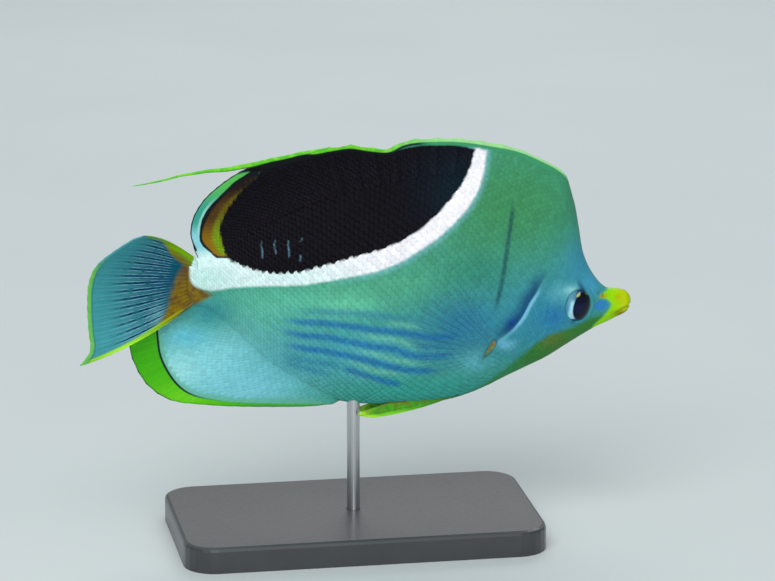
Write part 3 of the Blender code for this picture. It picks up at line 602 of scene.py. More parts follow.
BODY_WASHES = [
    ("leaf green nape", (60.0, 130.0, 34.0, 26.0), (58, 132, 84)),
    ("green under the band", (10.0, 101.0, 34.0, 8.0), (74, 158, 124)),
    ("light green rear", (-28.0, 95.0, 22.0, 8.0), (84, 174, 144)),
    ("light green flank", (-4.0, 94.0, 13.0, 4.5), (98, 188, 148)),
    ("green behind the band", (46.0, 105.0, 14.0, 9.0), (50, 132, 104)),
    ("pearl rear", (-54.0, 72.0, 26.0, 15.0), (130, 206, 213)),
    ("pearl belly", (-38.0, 62.0, 24.0, 10.0), (120, 196, 209)),
    ("blue under the stalk", (-64.0, 82.5, 8.0, 4.5), (96, 186, 204)),
    ("pearl under the tail", (-67.5, 69.0, 8.0, 6.5), (144, 210, 212)),
    ("blue-green flank", (-2.0, 74.0, 36.0, 14.0), (70, 158, 168)),
    ("blue shoulder", (42.0, 84.0, 18.0, 13.0), (40, 118, 150)),
    ("breast", (26.0, 58.0, 36.0, 7.0), (56, 156, 144)),
    ("pale before the pectoral", (46.0, 69.5, 6.5, 4.5), (90, 174, 182)),
    ("tail stalk", (-56.0, 92.0, 9.0, 7.0), (54, 142, 146)),
    ("blue head", (72.0, 86.0, 20.0, 19.0), (48, 132, 157)),
    ("blue brow", (88.0, 104.0, 9.0, 12.0), (56, 140, 164)),
    ("blue before the eye", (92.0, 97.0, 4.5, 4.0), (64, 150, 184)),
]


def rear_bands(shade, wobble):
    """Green or pearl edging, black line, rust and gold bands behind the blotch, from the margin in."""
    z = shade.where("Z")
    edging = shade.read("edging") + wobble * 0.25
    inner = edging.rise(-1.2, -0.7) * z.rise(121.0, 124.0) * z.fall(131.0, 138.0)
    rust = shade.over((132, 98, 4), ((70, 48, 12), (z + wobble * 2).rise(119.0, 129.0)),
                      ((28, 18, 14), z.rise(132.0, 141.0)))
    gold = shade.over((108, 140, 0), ((92, 82, 6), z.rise(121.0, 131.0)),
                      ((50, 44, 12), z.rise(134.0, 142.0)))
    return shade.over(
        (204, 232, 230),
        ((132, 200, 212), z.rise(113.5, 118.0)),
        ((56, 152, 132), z.rise(121.0, 128.0)),
        ((86, 182, 70), z.rise(131.0, 142.0) * 0.9),
        ((150, 216, 200), inner * 0.7),
        ((12, 20, 26), edging.rise(-0.25, 0.2)),
        (rust, (shade.read("orange") + wobble * 0.3).rise(-0.2, 0.7)),
        (gold, (shade.read("gold") + wobble * 0.4).rise(-0.9, 0.9)),
    )


def snout_yellow(shade, wobble):
    """Lemon lips and snout, rustier along the brow, with a painted brown shadow under the lower jaw by the
    mouth's corner.
    """
    return shade.over(
        (142, 210, 2),
        ((176, 196, 4), (shade.where("X") + wobble * 2).rise(100.5, 105.5)),
        ((186, 140, 4), shade.wash(103.0, 90.8, 1.3, 0.9) * 0.5),
        ((176, 112, 20), shade.wash(96.2, 91.6, 2.4, 0.7) * 0.8),
        # Painted shadow: brown under the lower jaw, by the corner of the mouth.
        ((112, 96, 6), shade.wash(104.6, 83.9, 3.2, 1.5) * 0.85),
    )


def gill_layers(shade, wobble):
    """The painted blue shadow behind the gill cover, and a pale line along its edge that is a painted
    highlight.
    """
    gill = shade.read("gill")
    behind = gill.fall(-0.4, 0.2)
    shadow = (gill + wobble).rise(-6.2, -0.8) * behind * shade.read("gill_strength")
    # A painted highlight: the pale line along the gill cover's raised edge.
    ridge = gill.rise(-0.3, 0.1) * (gill + wobble * 0.6).fall(0.3, 1.7) * shade.read("gill_highlight")
    return [
        ((18, 62, 112), shadow * 0.8),
        ((12, 56, 134), shade.wash(59.6, 84.6, 2.6, 2.6) * behind * 0.7),
        ((128, 198, 226), ridge * (0.5 + shade.noise(1100, 2.0) * 0.4)),
    ]


def living_colour(shade):
    """The fish's own colours, shared by its skin, its scales and the scaled parts of its fins."""
    x, z = shade.where("X"), shade.where("Z")
    band, fin_spot = shade.read("band"), shade.read("fin_spot")
    wobble = (shade.noise(420, 2.0) - 0.5) * 1.2
    broken = 0.42 + shade.noise(700, 2.0) * 0.6
    spot = shade.over((116, 138, 44), ((158, 128, 52), z.rise(73.5, 77.0)),
                      ((176, 176, 130), shade.noise(900, 1.0).rise(0.55, 0.65) * 0.5))
    chin = (shade.read("chin") + wobble).rise(-1.2, 1.6)
    bar = shade.read("eye_bar") * (1 - z.rise(95.0, 102.0) * 0.65)
    ember = shade.over((126, 104, 24), ((102, 80, 32), shade.noise(420, 2.0).rise(0.35, 0.7)))
    edge = (band + wobble * 0.7).rise(-0.8, 0.7)
    pearl = shade.over((234, 233, 238), ((208, 230, 230), shade.wash(-26.0, 105.0, 26.0, 9.0)),
                       ((184, 222, 216), shade.wash(-58.0, 106.0, 16.0, 9.0)))
    ink = shade.over((4, 2, 8), ((13, 7, 22), shade.noise(900, 2.0).rise(0.45, 0.7)),
                     ((3, 28, 40), shade.wash(40.0, 135.0, 14.0, 14.0) * 0.8),
                     ((100, 146, 164), shade.read("scratches").rise(0.15, 1.0) * 0.7))
    colour = shade.over(
        (66, 150, 132),
        ((62, 146, 118), shade.noise(260, 3.0).rise(0.4, 0.62)),
        *((tint, shade.wash(*spread)) for _, spread, tint in BODY_WASHES),
        ((112, 188, 158), shade.read("pale_lines") * broken * 0.75),
        ((20, 98, 162), shade.read("stripes").rise(0.0, 1.0) * broken),
        ((38, 116, 154), shade.read("faint_stripes") * broken * 0.7),
        ((22, 70, 78), shade.read("nape").rise(0.0, 0.95) * broken),
        *gill_layers(shade, wobble),
        ((36, 108, 166), shade.wash(76.6, 86.0, 5.0, 4.4) * 0.75),
        ((104, 182, 198), shade.wash(79.0, 95.6, 5.0, 3.6) * 0.45),
        ((142, 206, 208), shade.wash(83.2, 96.2, 2.8, 1.6) * 0.7),
        # A painted highlight: a pale spot where the gill cover's lower edge meets the pectoral root.
        ((120, 196, 226), shade.wash(57.6, 76.0, 3.4, 2.2) * 0.6),
        ((30, 72, 60), fin_spot.rise(0.1, 0.5) * 0.6),
        (spot, fin_spot.rise(0.4, 0.95) * 0.9),
        ((52, 122, 50), chin),
        ((102, 108, 46), chin * shade.wash(76.0, 76.5, 6.0, 3.4) * 0.55),
        ((48, 138, 88), chin * shade.wash(57.0, 62.0, 11.0, 7.0) * 0.85),
        ((18, 56, 98), bar.rise(0.05, 1.0) * 0.75),
        (snout_yellow(shade, wobble), (shade.read("snout") + wobble * 0.5).rise(-0.7, 0.8)),
        ((46, 122, 190), shade.wash(96.0, 88.2, 3.2, 2.2).rise(0.12, 0.75) * 0.85),
        (ember, (shade.read("root_orange") + wobble).rise(-1.3, 1.0)),
        ((120, 184, 196), (band.rise(-3.2, 0.2) - edge) * x.rise(-20.0, 10.0) * 0.65),
        (pearl, edge),
        (rear_bands(shade, wobble), x.fall(-36.5, -34.5) * shade.read("rear_white").rise(-0.4, 0.4)),
        (ink, (shade.read("blotch") + wobble * 0.5).rise(-0.5, 0.5)),
    )
    return shade.tinted(colour, 0.9 + shade.noise(2200, 2.0) * 0.2)


def finish_living(name, scaled):
    """Skin or scales: the living colours under a thin clear gloss."""
    material, shade = new_finish(name, 0.42, 0.0, 0.07)
    if scaled:
        tip = shade.read("tip")
        tone = 0.92 + shade.read("tone") * 0.16
        tone = tone * (0.9 + tip.rise(0.2, 0.75) * 0.14) * (1 - tip.rise(0.9, 1.0) * 0.1)
        grain = shade.noise(2400, 2.0, (0.35, 1, 1))
    else:
        tone = 0.9 + shade.noise(900, 3.0) * 0.18
        grain = shade.noise(1700, 3.0)
    return complete(material, {
        "Base Color": shade.tinted(living_colour(shade), tone),
        "Roughness": 0.34 + shade.noise(700, 2.0) * 0.2,
        "Coat Weight": 0.08 - shade.read("blotch").rise(-1.0, 0.5) * 0.08,
        "Normal": shade.bump(0.25, 0.00025, grain),
    })


mark(skin, skin_grid.reshape(-1, 3)[:, [0, 2]])
skin.data.materials.append(finish_living("fish_skin", False))
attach(skin, "root")
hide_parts("head", "lower_jaw", "gill_cover_right", "gill_cover_left", "trunk", "tail_base")


# Scales
# Thin overlapping plates set in rows along the flanks, each with its root under the scale ahead and
# its rear edge free. They are small on the face and stalk, narrow toward back and belly, and leave
# the lips and snout bare.

SCALE_COLUMNS, SCALE_ROWS = 7, 6
SCALE_PITCH = [(0.0, 1.1), (20.0, 1.3), (36.0, 1.8), (60.0, 2.8), (95.0, 3.4), (130.0, 3.2), (172.0, 2.0)]
SCALE_LIFT, SCALE_SINK = 0.20, 0.06
SCALE_CROWN, SCALE_SKIRT = 0.14, 1.2
SCALE_HALF_LENGTH, SCALE_HALF_WIDTH, SCALE_SPACING = 0.68, 0.56, 0.94
SCALE_TURN_SPREAD, SCALE_SIZE_SPREAD = 0.05, 0.035
SCALE_UV_SIZE = 0.0015
BODY_CROWDING = 0.12
FIRST_SCALED_X = 97.0
EYE_CLEARANCE = 7.6


def scale_template():
    """One scale lying flat: back from its root, across, its height share, and its faces."""
    back, across = np.meshgrid(np.linspace(-1, 1, SCALE_ROWS), np.linspace(-1, 1, SCALE_COLUMNS),
                               indexing="ij")
    round_back = back * np.sqrt(1 - across ** 2 / 2)
    round_across = across * np.sqrt(1 - back ** 2 / 2)
    flat = np.stack([round_back.ravel(), round_across.ravel()], axis=1)
    height = (flat[:, 0] + 1) / 2 + SCALE_CROWN * (1 - flat[:, 1] ** 2)
    number = np.arange(len(flat)).reshape(SCALE_ROWS, SCALE_COLUMNS)
    half = SCALE_ROWS // 2
    rim = np.concatenate([number[half:, 0], number[-1, 1:], number[-2:half - 1:-1, -1]])
    under = len(flat) + np.arange(len(rim))
    skirt = np.stack([rim[:-1], rim[1:], under[1:], under[:-1]], axis=1)
    flat = np.vstack([flat, flat[rim] * 1.01])
    height = np.concatenate([height, height[rim] - SCALE_SKIRT])
    return flat, height, np.vstack([quads_of(SCALE_ROWS, SCALE_COLUMNS, False), skirt])


def lay_scales(name, grid, normals, sites, lengths, widths, lift, wrapped, seed):
    """Scales wrapped onto a sheet: sites are fractional rows and columns, and sizes are half sizes."""
    flat, height, quads = scale_template()
    rng = np.random.default_rng(seed)
    step, least = 0.25, 0.05
    ahead = read_grid(grid, sites[:, 0] + step, sites[:, 1], wrapped)
    behind = read_grid(grid, sites[:, 0] - step, sites[:, 1], wrapped)
    beside = read_grid(grid, sites[:, 0], sites[:, 1] + step, wrapped)
    before = read_grid(grid, sites[:, 0], sites[:, 1] - step, wrapped)
    per_row = np.maximum(np.linalg.norm(ahead - behind, axis=1) / (2 * step), least)
    per_column = np.maximum(np.linalg.norm(beside - before, axis=1) / (2 * step), least)
    turn = rng.normal(0, SCALE_TURN_SPREAD, len(sites))[:, None]
    size = rng.normal(1.0, SCALE_SIZE_SPREAD, len(sites))[:, None]
    back = (flat[None, :, 0] * np.cos(turn) - flat[None, :, 1] * np.sin(turn)) * lengths[:, None] * size
    across = (flat[None, :, 1] * np.cos(turn) + flat[None, :, 0] * np.sin(turn)) * widths[:, None] * size
    rows = sites[:, :1] + back / per_row[:, None]
    columns = sites[:, 1:] + across / per_column[:, None]
    base = read_grid(grid, rows, columns, wrapped)
    out = read_grid(normals, rows, columns, wrapped)
    out /= np.maximum(np.linalg.norm(out, axis=-1, keepdims=True), 1e-9)
    lifted = height[None] * lift[:, None] * rng.uniform(0.85, 1.15, (len(sites), 1)) - SCALE_SINK
    points = (base + out * lifted[..., None]).reshape(-1, 3)
    faces = (quads[None, :, ::-1] + (np.arange(len(sites)) * len(flat))[:, None, None]).reshape(-1, 4)
    root = np.stack([sites[:, 1] / grid.shape[1], sites[:, 0] / (grid.shape[0] - 1)], axis=1)
    uv = (root[:, None, :] + flat[None, :, ::-1] * SCALE_UV_SIZE).reshape(-1, 2)[faces]
    piece = new_piece(name, points, faces, uv)
    mark(piece, base.reshape(-1, 3)[:, [0, 2]])
    # The blotch's edge follows whole scales, and more so toward the tail.
    centre = read_grid(grid, sites[:, 0], sites[:, 1], wrapped)
    teeth = (0.55 - 0.4 * smooth_step(centre[:, 0], -25.0, 25.0))[:, None, None]
    toothed = (base + (centre[:, None, :] - base) * teeth).reshape(-1, 3)[:, [0, 2]]
    blotch = read_chart("blotch", toothed).astype(np.float32)
    piece.data.attributes["blotch"].data.foreach_set("value", blotch)
    write_field(piece, "tip", np.tile((flat[:, 0] + 1) / 2, len(sites)))
    write_field(piece, "tone", np.repeat(rng.uniform(0, 1, len(sites)), len(flat)))
    piece.data.materials.append(scale_finish)
    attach(piece, "root")


def scale_sites(sheet, pitches, crowding):
    """Staggered rows of sites over a sheet, with half lengths and widths. Crowding draws the rows
    closer together toward the sheet's two edges."""
    columns = sheet.shape[1]
    line = sheet[:, columns // 2]
    travelled = np.concatenate([[0.0], np.cumsum(np.linalg.norm(np.diff(line, axis=0), axis=1))])
    girth = np.linalg.norm(np.diff(sheet, axis=1), axis=2).sum(1)
    sites, lengths, widths = [], [], []
    place, number = 1.0, 0
    while place < travelled[-1] - 0.6:
        pitch = np.interp(place, *np.array(pitches).T)
        row = np.interp(place, travelled, np.arange(len(line)))
        around = np.interp(place, travelled, girth)
        share = around / 2 / (pitch * SCALE_SPACING) / (1 - crowding)
        count = int(share) + 1
        for step in range(-count, count + 1):
            level = (step + 0.5 * (number % 2)) / share
            if abs(level) > 0.985:
                continue
            eased = (level - crowding * level ** 3) / (1 - crowding)
            sites.append((row, (columns - 1) / 2 * (1 + eased)))
            lengths.append(pitch * SCALE_HALF_LENGTH)
            width = around / 2 / share * (1 - 3 * crowding * level ** 2) / (1 - crowding)
            widths.append(width * SCALE_HALF_WIDTH)
        place += pitch / 2
        number += 1
    return np.array(sites), np.array(lengths), np.array(widths)


def scaled_places(sites):
    """Which sites carry a scale: not the snout, lips, eye, nor the slit behind the gill cover."""
    spots = read_grid(skin_grid, sites[:, 0], sites[:, 1], True)
    flat = spots[:, [0, 2]]
    distance, share, side = nearest_on(flat, gill_line)
    slit = (distance * side < 2.0) & (distance * side > -1.5) & (share > 0.08) & (share < 0.9)
    eye = np.linalg.norm((flat - EYE_CENTRE) * (1.08, 1.0), axis=1) < EYE_CLEARANCE
    snout = flat[:, 0] + 0.35 * (flat[:, 1] - 88) > FIRST_SCALED_X
    return ~(slit | eye | snout)


scale_finish = finish_living("fish_scales", True)
left_sites, half_lengths, half_widths = scale_sites(skin_grid[:, :SIDE_COLUMNS], SCALE_PITCH, BODY_CROWDING)
scaled = scaled_places(left_sites)
left_sites, half_lengths, half_widths = left_sites[scaled], half_lengths[scaled], half_widths[scaled]
in_front = left_sites[:, 0] <= np.quantile(left_sites[:, 0], 0.55)
for side_name, columns in (("left", left_sites[:, 1]), ("right", 2 * SIDE_COLUMNS - left_sites[:, 1])):
    for part_name, chosen in (("front", in_front), ("rear", ~in_front)):
        sites = np.stack([left_sites[chosen, 0], columns[chosen]], axis=1)
        lift = SCALE_LIFT * np.clip(half_lengths[chosen] / 2.2, 0.45, 1.0)
        lay_scales(f"scales_{side_name}_{part_name}", skin_grid, skin_normals, sites, half_lengths[chosen],
                   half_widths[chosen], lift, True, len(side_name + part_name))


# Eyes
# Glass eyes set in the head: a flattened globe with a wide black pupil, a dark blue iris with a pale
# crescent at its rear, and a slightly domed, polished cornea.

EYE_HALF_THICKNESS, EYE_SUNK = 2.7, 1.5
EYE_RINGS, EYE_AROUND, EYE_REACH = 40, 64, 0.8
CORNEA_HEIGHT, CORNEA_WIDTH = 0.35, 0.62


def flank_at(x, z, side):
    """Where the smooth flank is at x and z on one side, and which way it faces."""
    columns = slice(0, SIDE_COLUMNS) if side > 0 else slice(SIDE_COLUMNS + 1, AROUND - 1)
    spots = (skin_grid - loft_normals * raised)[:, columns].reshape(-1, 3)
    facing = loft_normals[:, columns].reshape(-1, 3)
    nearest = np.hypot(spots[:, 0] - x, spots[:, 2] - z).argmin()
    return spots[nearest], facing[nearest]


def eye_globe(name, side):
    middle, facing = flank_at(*EYE_CENTRE, side)
    turn = np.array(Vector(facing).to_track_quat("Z", "Y").to_matrix())
    fall, spin = np.meshgrid(np.linspace(0.0005, math.pi * EYE_REACH, EYE_RINGS),
                             np.linspace(0, 2 * math.pi, EYE_AROUND, endpoint=False), indexing="ij")
    cornea = CORNEA_HEIGHT * hump(np.sin(fall), 0.0, CORNEA_WIDTH) * (fall < math.pi / 2)
    local = np.stack([np.sin(fall) * np.cos(spin) * EYE_RADIUS, np.sin(fall) * np.sin(spin) * EYE_RADIUS,
                      np.cos(fall) * EYE_HALF_THICKNESS + cornea], axis=-1).reshape(-1, 3)
    points = (local @ turn.T) / (EYE_TALLNESS, 1, 1) + middle - facing * EYE_SUNK
    piece = new_piece(name, points, quads_of(EYE_RINGS, EYE_AROUND, True)[:, ::-1])
    write_field(piece, "eye_x", points[:, 0] - middle[0])
    write_field(piece, "eye_z", points[:, 2] - middle[2])
    return piece


def finish_eye():
    """Pupil, iris and crescent, painted by the place on the globe in millimetres."""
    material, shade = new_finish("eye_glass", 0.1, 0.12, 0.16)
    across, up = shade.read("eye_x"), shade.read("eye_z")
    lean = across - up * 0.14 - 1.0
    pupil = (lean * lean * 0.085 + (up + 0.2) * (up + 0.2) * 0.038) ** 0.5
    # The pupil is black, with a bluer painted sheen in its middle.
    black = shade.over((1, 3, 16), ((4, 20, 70), shade.wash(86.4, 89.2, 2.2, 3.0) * 0.7))
    outer = (across + 4.5 - up * 0.2).rise(-0.4, 0.5) * up.fall(1.0, 3.4) * (up + 5.0).rise(-0.4, 0.4)
    crescent = pupil.rise(1.0, 1.16) * outer * across.fall(-1.9, -0.9)
    shaded = (across - up * 0.2 + shade.noise(900, 2.0)).fall(-4.0, -2.6)
    silver = shade.over((162, 216, 228), ((84, 152, 184), shaded))
    front = pupil.rise(1.04, 1.12) * lean.rise(1.4, 2.4) * across.fall(5.2, 5.7)
    crown = pupil.rise(0.9, 1.0) * pupil.fall(1.14, 1.24) * up.rise(3.4, 4.2)
    colour = shade.over(
        (22, 60, 104),
        ((10, 30, 72), shade.noise(1800, 2.0)),
        ((84, 148, 170), (up * 0.25 - across).rise(1.2, 3.4) * 0.85),
        (black, pupil.fall(0.98, 1.08)),
        (silver, crescent),
        ((80, 156, 170), front * 0.65),
        ((186, 192, 104), crown * across.rise(-2.0, -1.2) * across.fall(0.0, 0.8) * 0.85),
        ((90, 150, 62), crown * across.rise(2.2, 3.2) * across.fall(3.9, 4.6) * 0.75),
    )
    return complete(material, {"Base Color": shade.tinted(colour, 0.85 + shade.noise(2600, 2.0) * 0.3)})


eye_finish = finish_eye()
for side_name, side in (("right", -1), ("left", 1)):
    eye = eye_globe(f"glass_eye_{side_name}", side)
    eye.data.materials.append(eye_finish)
    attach(eye, "root")
    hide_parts(f"eye_{side_name}")


# Dorsal fin
# Thirteen stiff spines and twenty-two soft rays in one thin sheet that rises from the back. The black
# blotch covers its rear, and a lime edge runs along its margin into a trailing thread.

SPINY_MARGIN = [
    (84.4, 134.4), (83.8, 137.0), (82.5, 139.7), (79.0, 142.7), (72.5, 146.3), (65.0, 150.0), (57.0, 152.5),
    (41.5, 155.4), (26.0, 155.9), (19.0, 154.9), (13.5, 152.6), (7.0, 153.2), (-1.0, 154.6), (-9.0, 153.8),
]
SOFT_MARGIN = [
    (-9.4, 153.8), (-17.5, 152.2), (-25.0, 150.6), (-33.0, 148.9), (-40.0, 147.2), (-44.0, 145.4),
    (-50.4, 141.4), (-56.5, 136.3), (-60.2, 131.2), (-62.0, 126.6), (-62.3, 121.5), (-60.4, 116.4),
]
DORSAL_SPINES, DORSAL_RAYS = 13, 22
DORSAL_START_STATION, DORSAL_SPLIT_STATION, DORSAL_END_STATION = 9.95, 15, 19.2
DORSAL_SCALE_PITCH = [(0.0, 2.2), (30.0, 2.6), (90.0, 2.4), (150.0, 1.6)]
DORSAL_SCALE_LIFT = 0.10
DORSAL_THICKNESS = (6.0, 0.45, 5.8)
FIN_ROOT_DEPTH = 3.8


def profile(first, last, upper, count):
    """The body's upper or lower edge between two stations, sunk a little into the flesh."""
    rows = curve_through(STATIONS, np.linspace(first, last, count))
    edge, other = (rows[:, 0:2], rows[:, 2:4]) if upper else (rows[:, 2:4], rows[:, 0:2])
    inward = (other - edge) / np.linalg.norm(other - edge, axis=1, keepdims=True)
    sunk = edge + inward * FIN_ROOT_DEPTH
    return np.stack([sunk[:, 0], bend_at(sunk[:, 0]), sunk[:, 1]], axis=1)


def margin(outline, share_of_bend, count):
    flat = evenly(smooth_line(outline, 12 * len(outline)), count)
    sideways = bend_at(np.maximum(flat[:, 0], BEND_END_X)) * share_of_bend
    return np.stack([flat[:, 0], sideways, flat[:, 1]], axis=1)


def soft_ray(offset, reach):
    """Height share of a soft ray, by its distance from the ray's middle in ray spacings. It
    divides in two, and again in four, toward the margin."""
    first = 0.20 * smooth_step(reach, 0.38, 0.95)
    second = 0.09 * smooth_step(reach, 0.68, 1.05)
    width = 0.17 - 0.10 * smooth_step(reach, 0.3, 0.9)
    most = np.zeros_like(offset * reach)
    for a in (-1, 1):
        for b in (-1, 1):
            most = np.maximum(most, np.exp(-((offset - a * first - b * second) / width) ** 2))
    return most


def spine_ray(offset, reach):
    """Height share of a spine, which tapers evenly to its tip."""
    return np.exp(-(offset / (0.15 - 0.08 * reach)) ** 2)


class FinSheet:
    """The middle surface of a fin, its thickness, and the fields its finish reads."""

    def __init__(self, roots, tips, rays, steps_per_ray, rows, shape, notch, height, curve=None):
        columns = (rays - 1) * steps_per_ray + 1
        place, reach = np.linspace(0, 1, columns)[:, None], np.linspace(0, 1, rows)[None]
        roots, tips = evenly(roots, columns), evenly(tips, columns)
        offset = (place * (rays - 1) + 0.5) % 1.0 - 0.5
        along = reach * (1 - notch * np.abs(np.sin(math.pi * place * (rays - 1))) ** 0.7)
        self.grid = roots[:, None] + (tips - roots)[:, None] * along[..., None]
        if curve is not None:
            self.grid = self.grid + curve(place, along)
        self.place, self.reach, self.gap, self.height = (np.broadcast_to(values, along.shape) for values in (
            place, reach, np.abs(offset), np.linalg.norm(tips - roots, axis=1)[:, None]))
        self.ray = shape(offset, self.reach)
        self.ridge = self.ray * height * (1 - 0.75 * self.reach)
        self.tips = tips

    def joined(self, other):
        """This sheet and the one behind it as one."""
        for name in ("grid", "place", "reach", "ray", "ridge", "gap", "height", "tips"):
            setattr(self, name, np.concatenate([getattr(self, name), getattr(other, name)]))
        return self

    def rim(self):
        """Millimetres in from the margin."""
        return nearest_on(self.grid.reshape(-1, 3)[:, [0, 2]], self.tips[:, [0, 2]])[0]

    def thickness(self, root, edge, fairing):
        """Thin at the margin, and swelling over the fairing's length to meet the flank at the root."""
        ends = smooth_step(np.linspace(0, 1, len(self.reach)), 0, 0.05)
        ends = (ends * (0.3 + 0.7 * ends[::-1]))[:, None]
        return (edge * (1.3 - 0.3 * self.reach)
                + (root - edge) * np.exp(-self.reach * self.height / fairing) * ends)

    def piece(self, name, finish, thickness, fields=()):
        """The fin as one closed mesh, its rays raised on both faces."""
        columns, rows = self.reach.shape
        normals = outward_normals(self.grid, False)
        web = self.thickness(*thickness) * np.sqrt(np.clip((1.004 - self.reach) / 0.02, 0.02, 1))
        shift = normals * (web / 2 + self.ridge)[..., None]
        faces = quads_of(columns, rows, False)
        points = np.concatenate([(self.grid + shift).reshape(-1, 3), (self.grid - shift).reshape(-1, 3)])
        second = columns * rows
        number = np.arange(second).reshape(columns, rows)
        loop = np.concatenate([number[:, 0], number[-1, 1:], number[-2::-1, -1], number[0, -2:0:-1]])
        after = np.roll(loop, -1)
        side = np.stack([loop, loop + second, after + second, after], axis=1)
        piece = new_piece(name, points, np.vstack([faces[:, ::-1], faces + second, side]))
        mark(piece, np.tile(self.grid.reshape(-1, 3)[:, [0, 2]], (2, 1)))
        own = {"place": self.place, "reach": self.reach, "ray": self.ray, "gap": self.gap, "rim": self.rim()}
        own.update(fields)
        for field, values in own.items():
            write_field(piece, field, np.tile(np.asarray(values).ravel(), 2))
        piece.data.materials.append(finish)
        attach(piece, "root")
        return piece


def fin_relief(shade, strength=0.35):
    """Fine cross joints along the rays and a grain in the membrane."""
    joints = shade.math("SINE", shade.read("reach") * 300)
    return shade.bump(strength, 0.0003, joints * shade.read("ray") * 0.12 + shade.noise(1500, 3.0) * 0.5)


def lime_edge(shade):
    return shade.over((80, 184, 32), ((114, 206, 40), shade.noise(350, 2.0).rise(0.4, 0.65)),
                      ((162, 222, 156), shade.where("X").rise(6.0, 42.0) * 0.8))


def finish_dorsal():
    material, shade = new_finish("dorsal_fin_membrane", 0.45, 0.0, 0.07)
    rim, x = shade.read("rim"), shade.where("X")
    front = x.rise(-36.5, -34.5)
    last = shade.read("place").rise(0.986, 0.994) * shade.read("reach").rise(0.1, 0.5)
    width = 1.5 - x.rise(52.0, 74.0) * 0.7 - x.fall(-24.0, -12.0) * 2.0
    colour = shade.over(
        living_colour(shade),
        ((14, 40, 52), shade.math("MAXIMUM", last, rim.fall(0.25, 0.6)) * (1 - front)),
        ((60, 146, 100), rim.fall(2.4, 3.2) * front * x.rise(24.0, 34.0)),
        ((8, 16, 18), rim.fall(2.2, 2.8) * front * x.fall(24.0, 31.0) * 0.9),
        (lime_edge(shade), (rim - width).fall(-0.25, 0.25) * front * x.fall(81.0, 83.6)),
    )
    colour = shade.tinted(colour, 0.96 + shade.read("ray") * 0.06)
    return complete(material, {"Base Color": colour, "Normal": fin_relief(shade)})


def sheathe(sheet, name, pitches, lift, thickness, kept):
    """Lays scales over the root of a fin on both of its faces, where kept() allows them."""
    normals = outward_normals(sheet.grid, False)
    surface = normals * (sheet.thickness(*thickness) / 2 + sheet.ridge)[..., None]
    sites, lengths, widths = scale_sites(sheet.grid, pitches, 0.0)
    keep = kept(read_grid(sheet.grid, sites[:, 0], sites[:, 1], False)[:, [0, 2]])
    sites, lengths, widths = sites[keep], lengths[keep], widths[keep]
    lift = np.full(len(sites), lift)
    last = sheet.grid.shape[1] - 1
    lay_scales(f"{name}_scales_left", sheet.grid + surface, normals, sites, lengths, widths,
               lift, False, len(name + "left"))
    lay_scales(f"{name}_scales_right", (sheet.grid - surface)[:, ::-1], -normals[:, ::-1],
               np.abs(sites - (0, last)), lengths, widths, lift, False, len(name + "right"))


dorsal_sheet = FinSheet(profile(DORSAL_START_STATION, DORSAL_SPLIT_STATION, True, 60),
                        margin(SPINY_MARGIN, 0.5, 400), DORSAL_SPINES, steps_per_ray=14, rows=34,
                        shape=spine_ray, notch=0.035, height=0.30)
dorsal_sheet = dorsal_sheet.joined(FinSheet(
    profile(DORSAL_SPLIT_STATION, DORSAL_END_STATION, True, 60), margin(SOFT_MARGIN, 0.5, 400), DORSAL_RAYS,
    steps_per_ray=14, rows=34, shape=soft_ray, notch=0.006, height=0.12))
dorsal = dorsal_sheet.piece("dorsal_fin", finish_dorsal(), DORSAL_THICKNESS)
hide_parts("dorsal_fin_spines", "dorsal_fin_soft")


def inside_dorsal_margin(flat):
    """The scales leave the fin's margin bare, and more of it where the rear bands run."""
    bare = 3.6 + 2.6 * smooth_step(flat[:, 0], -30, -50)
    return nearest_on(flat, dorsal_sheet.tips[:, [0, 2]])[0] > bare


sheathe(dorsal_sheet, "dorsal", DORSAL_SCALE_PITCH, DORSAL_SCALE_LIFT, DORSAL_THICKNESS, inside_dorsal_margin)


# Trailing thread
# The fourth soft ray of the dorsal fin runs on past the margin as a lime-coloured thread. It is one
# slim rod, set against the fin's edge, that tapers to a point.

THREAD = [
    (-10.0, 153.3), (-16.0, 152.3), (-23.0, 151.1), (-31.2, 149.6), (-39.3, 148.1), (-45.0, 147.2),
    (-51.5, 146.7), (-57.6, 146.4), (-63.7, 145.7), (-69.8, 144.5), (-77.0, 143.0), (-84.0, 142.2),
]
THREAD_HALF_HEIGHTS = (0.3, 0.7, 0.8, 0.85, 0.95, 0.9, 0.75, 0.62, 0.5, 0.42, 0.32, 0.12)
THREAD_HALF_WIDTHS = (0.2, 0.5, 0.55, 0.6, 0.6, 0.55, 0.5, 0.44, 0.38, 0.32, 0.26, 0.1)
THREAD_SIDES = 20
THREAD_WAVE, THREAD_WAVES_PER_MM = 0.08, 0.55


def finish_thread():
    material, shade = new_finish("thread_lime", 0.42, 0.0, 0.15)
    under = shade.read("under").fall(-0.75, -0.3) * shade.read("near_fin")
    return complete(material, {"Base Color": shade.over(lime_edge(shade), ((28, 64, 30), under))})


def thread():
    stations = np.column_stack([THREAD, THREAD_HALF_HEIGHTS, THREAD_HALF_WIDTHS])
    x, z, high, wide = smooth_line(stations, 120).T[..., None]
    spin = np.linspace(0, 2 * math.pi, THREAD_SIDES, endpoint=False)
    y = 0.5 * bend_at(np.maximum(x, BEND_END_X)) + wide * np.cos(spin)
    z = z + THREAD_WAVE * np.sin(x * THREAD_WAVES_PER_MM) + high * np.sin(spin)
    rings = np.stack([np.broadcast_to(x, y.shape), y, z], axis=-1)
    faces = quads_of(len(rings), THREAD_SIDES, True)[:, ::-1]
    piece = new_piece("dorsal_thread", rings.reshape(-1, 3), faces)
    write_field(piece, "under", np.tile(np.sin(spin), len(rings)))
    write_field(piece, "near_fin", np.repeat(smooth_step(x[:, 0], -62, -30), THREAD_SIDES))
    piece.data.materials.append(finish_thread())
    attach(piece, "root")
    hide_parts("dorsal_filament")


thread()


# Anal fin
# A thin sheet on twenty-three rays behind the belly: pearly blue scales at its root, then a thin
# black line, and a broad lime-green border with a fine dark margin at its rear.

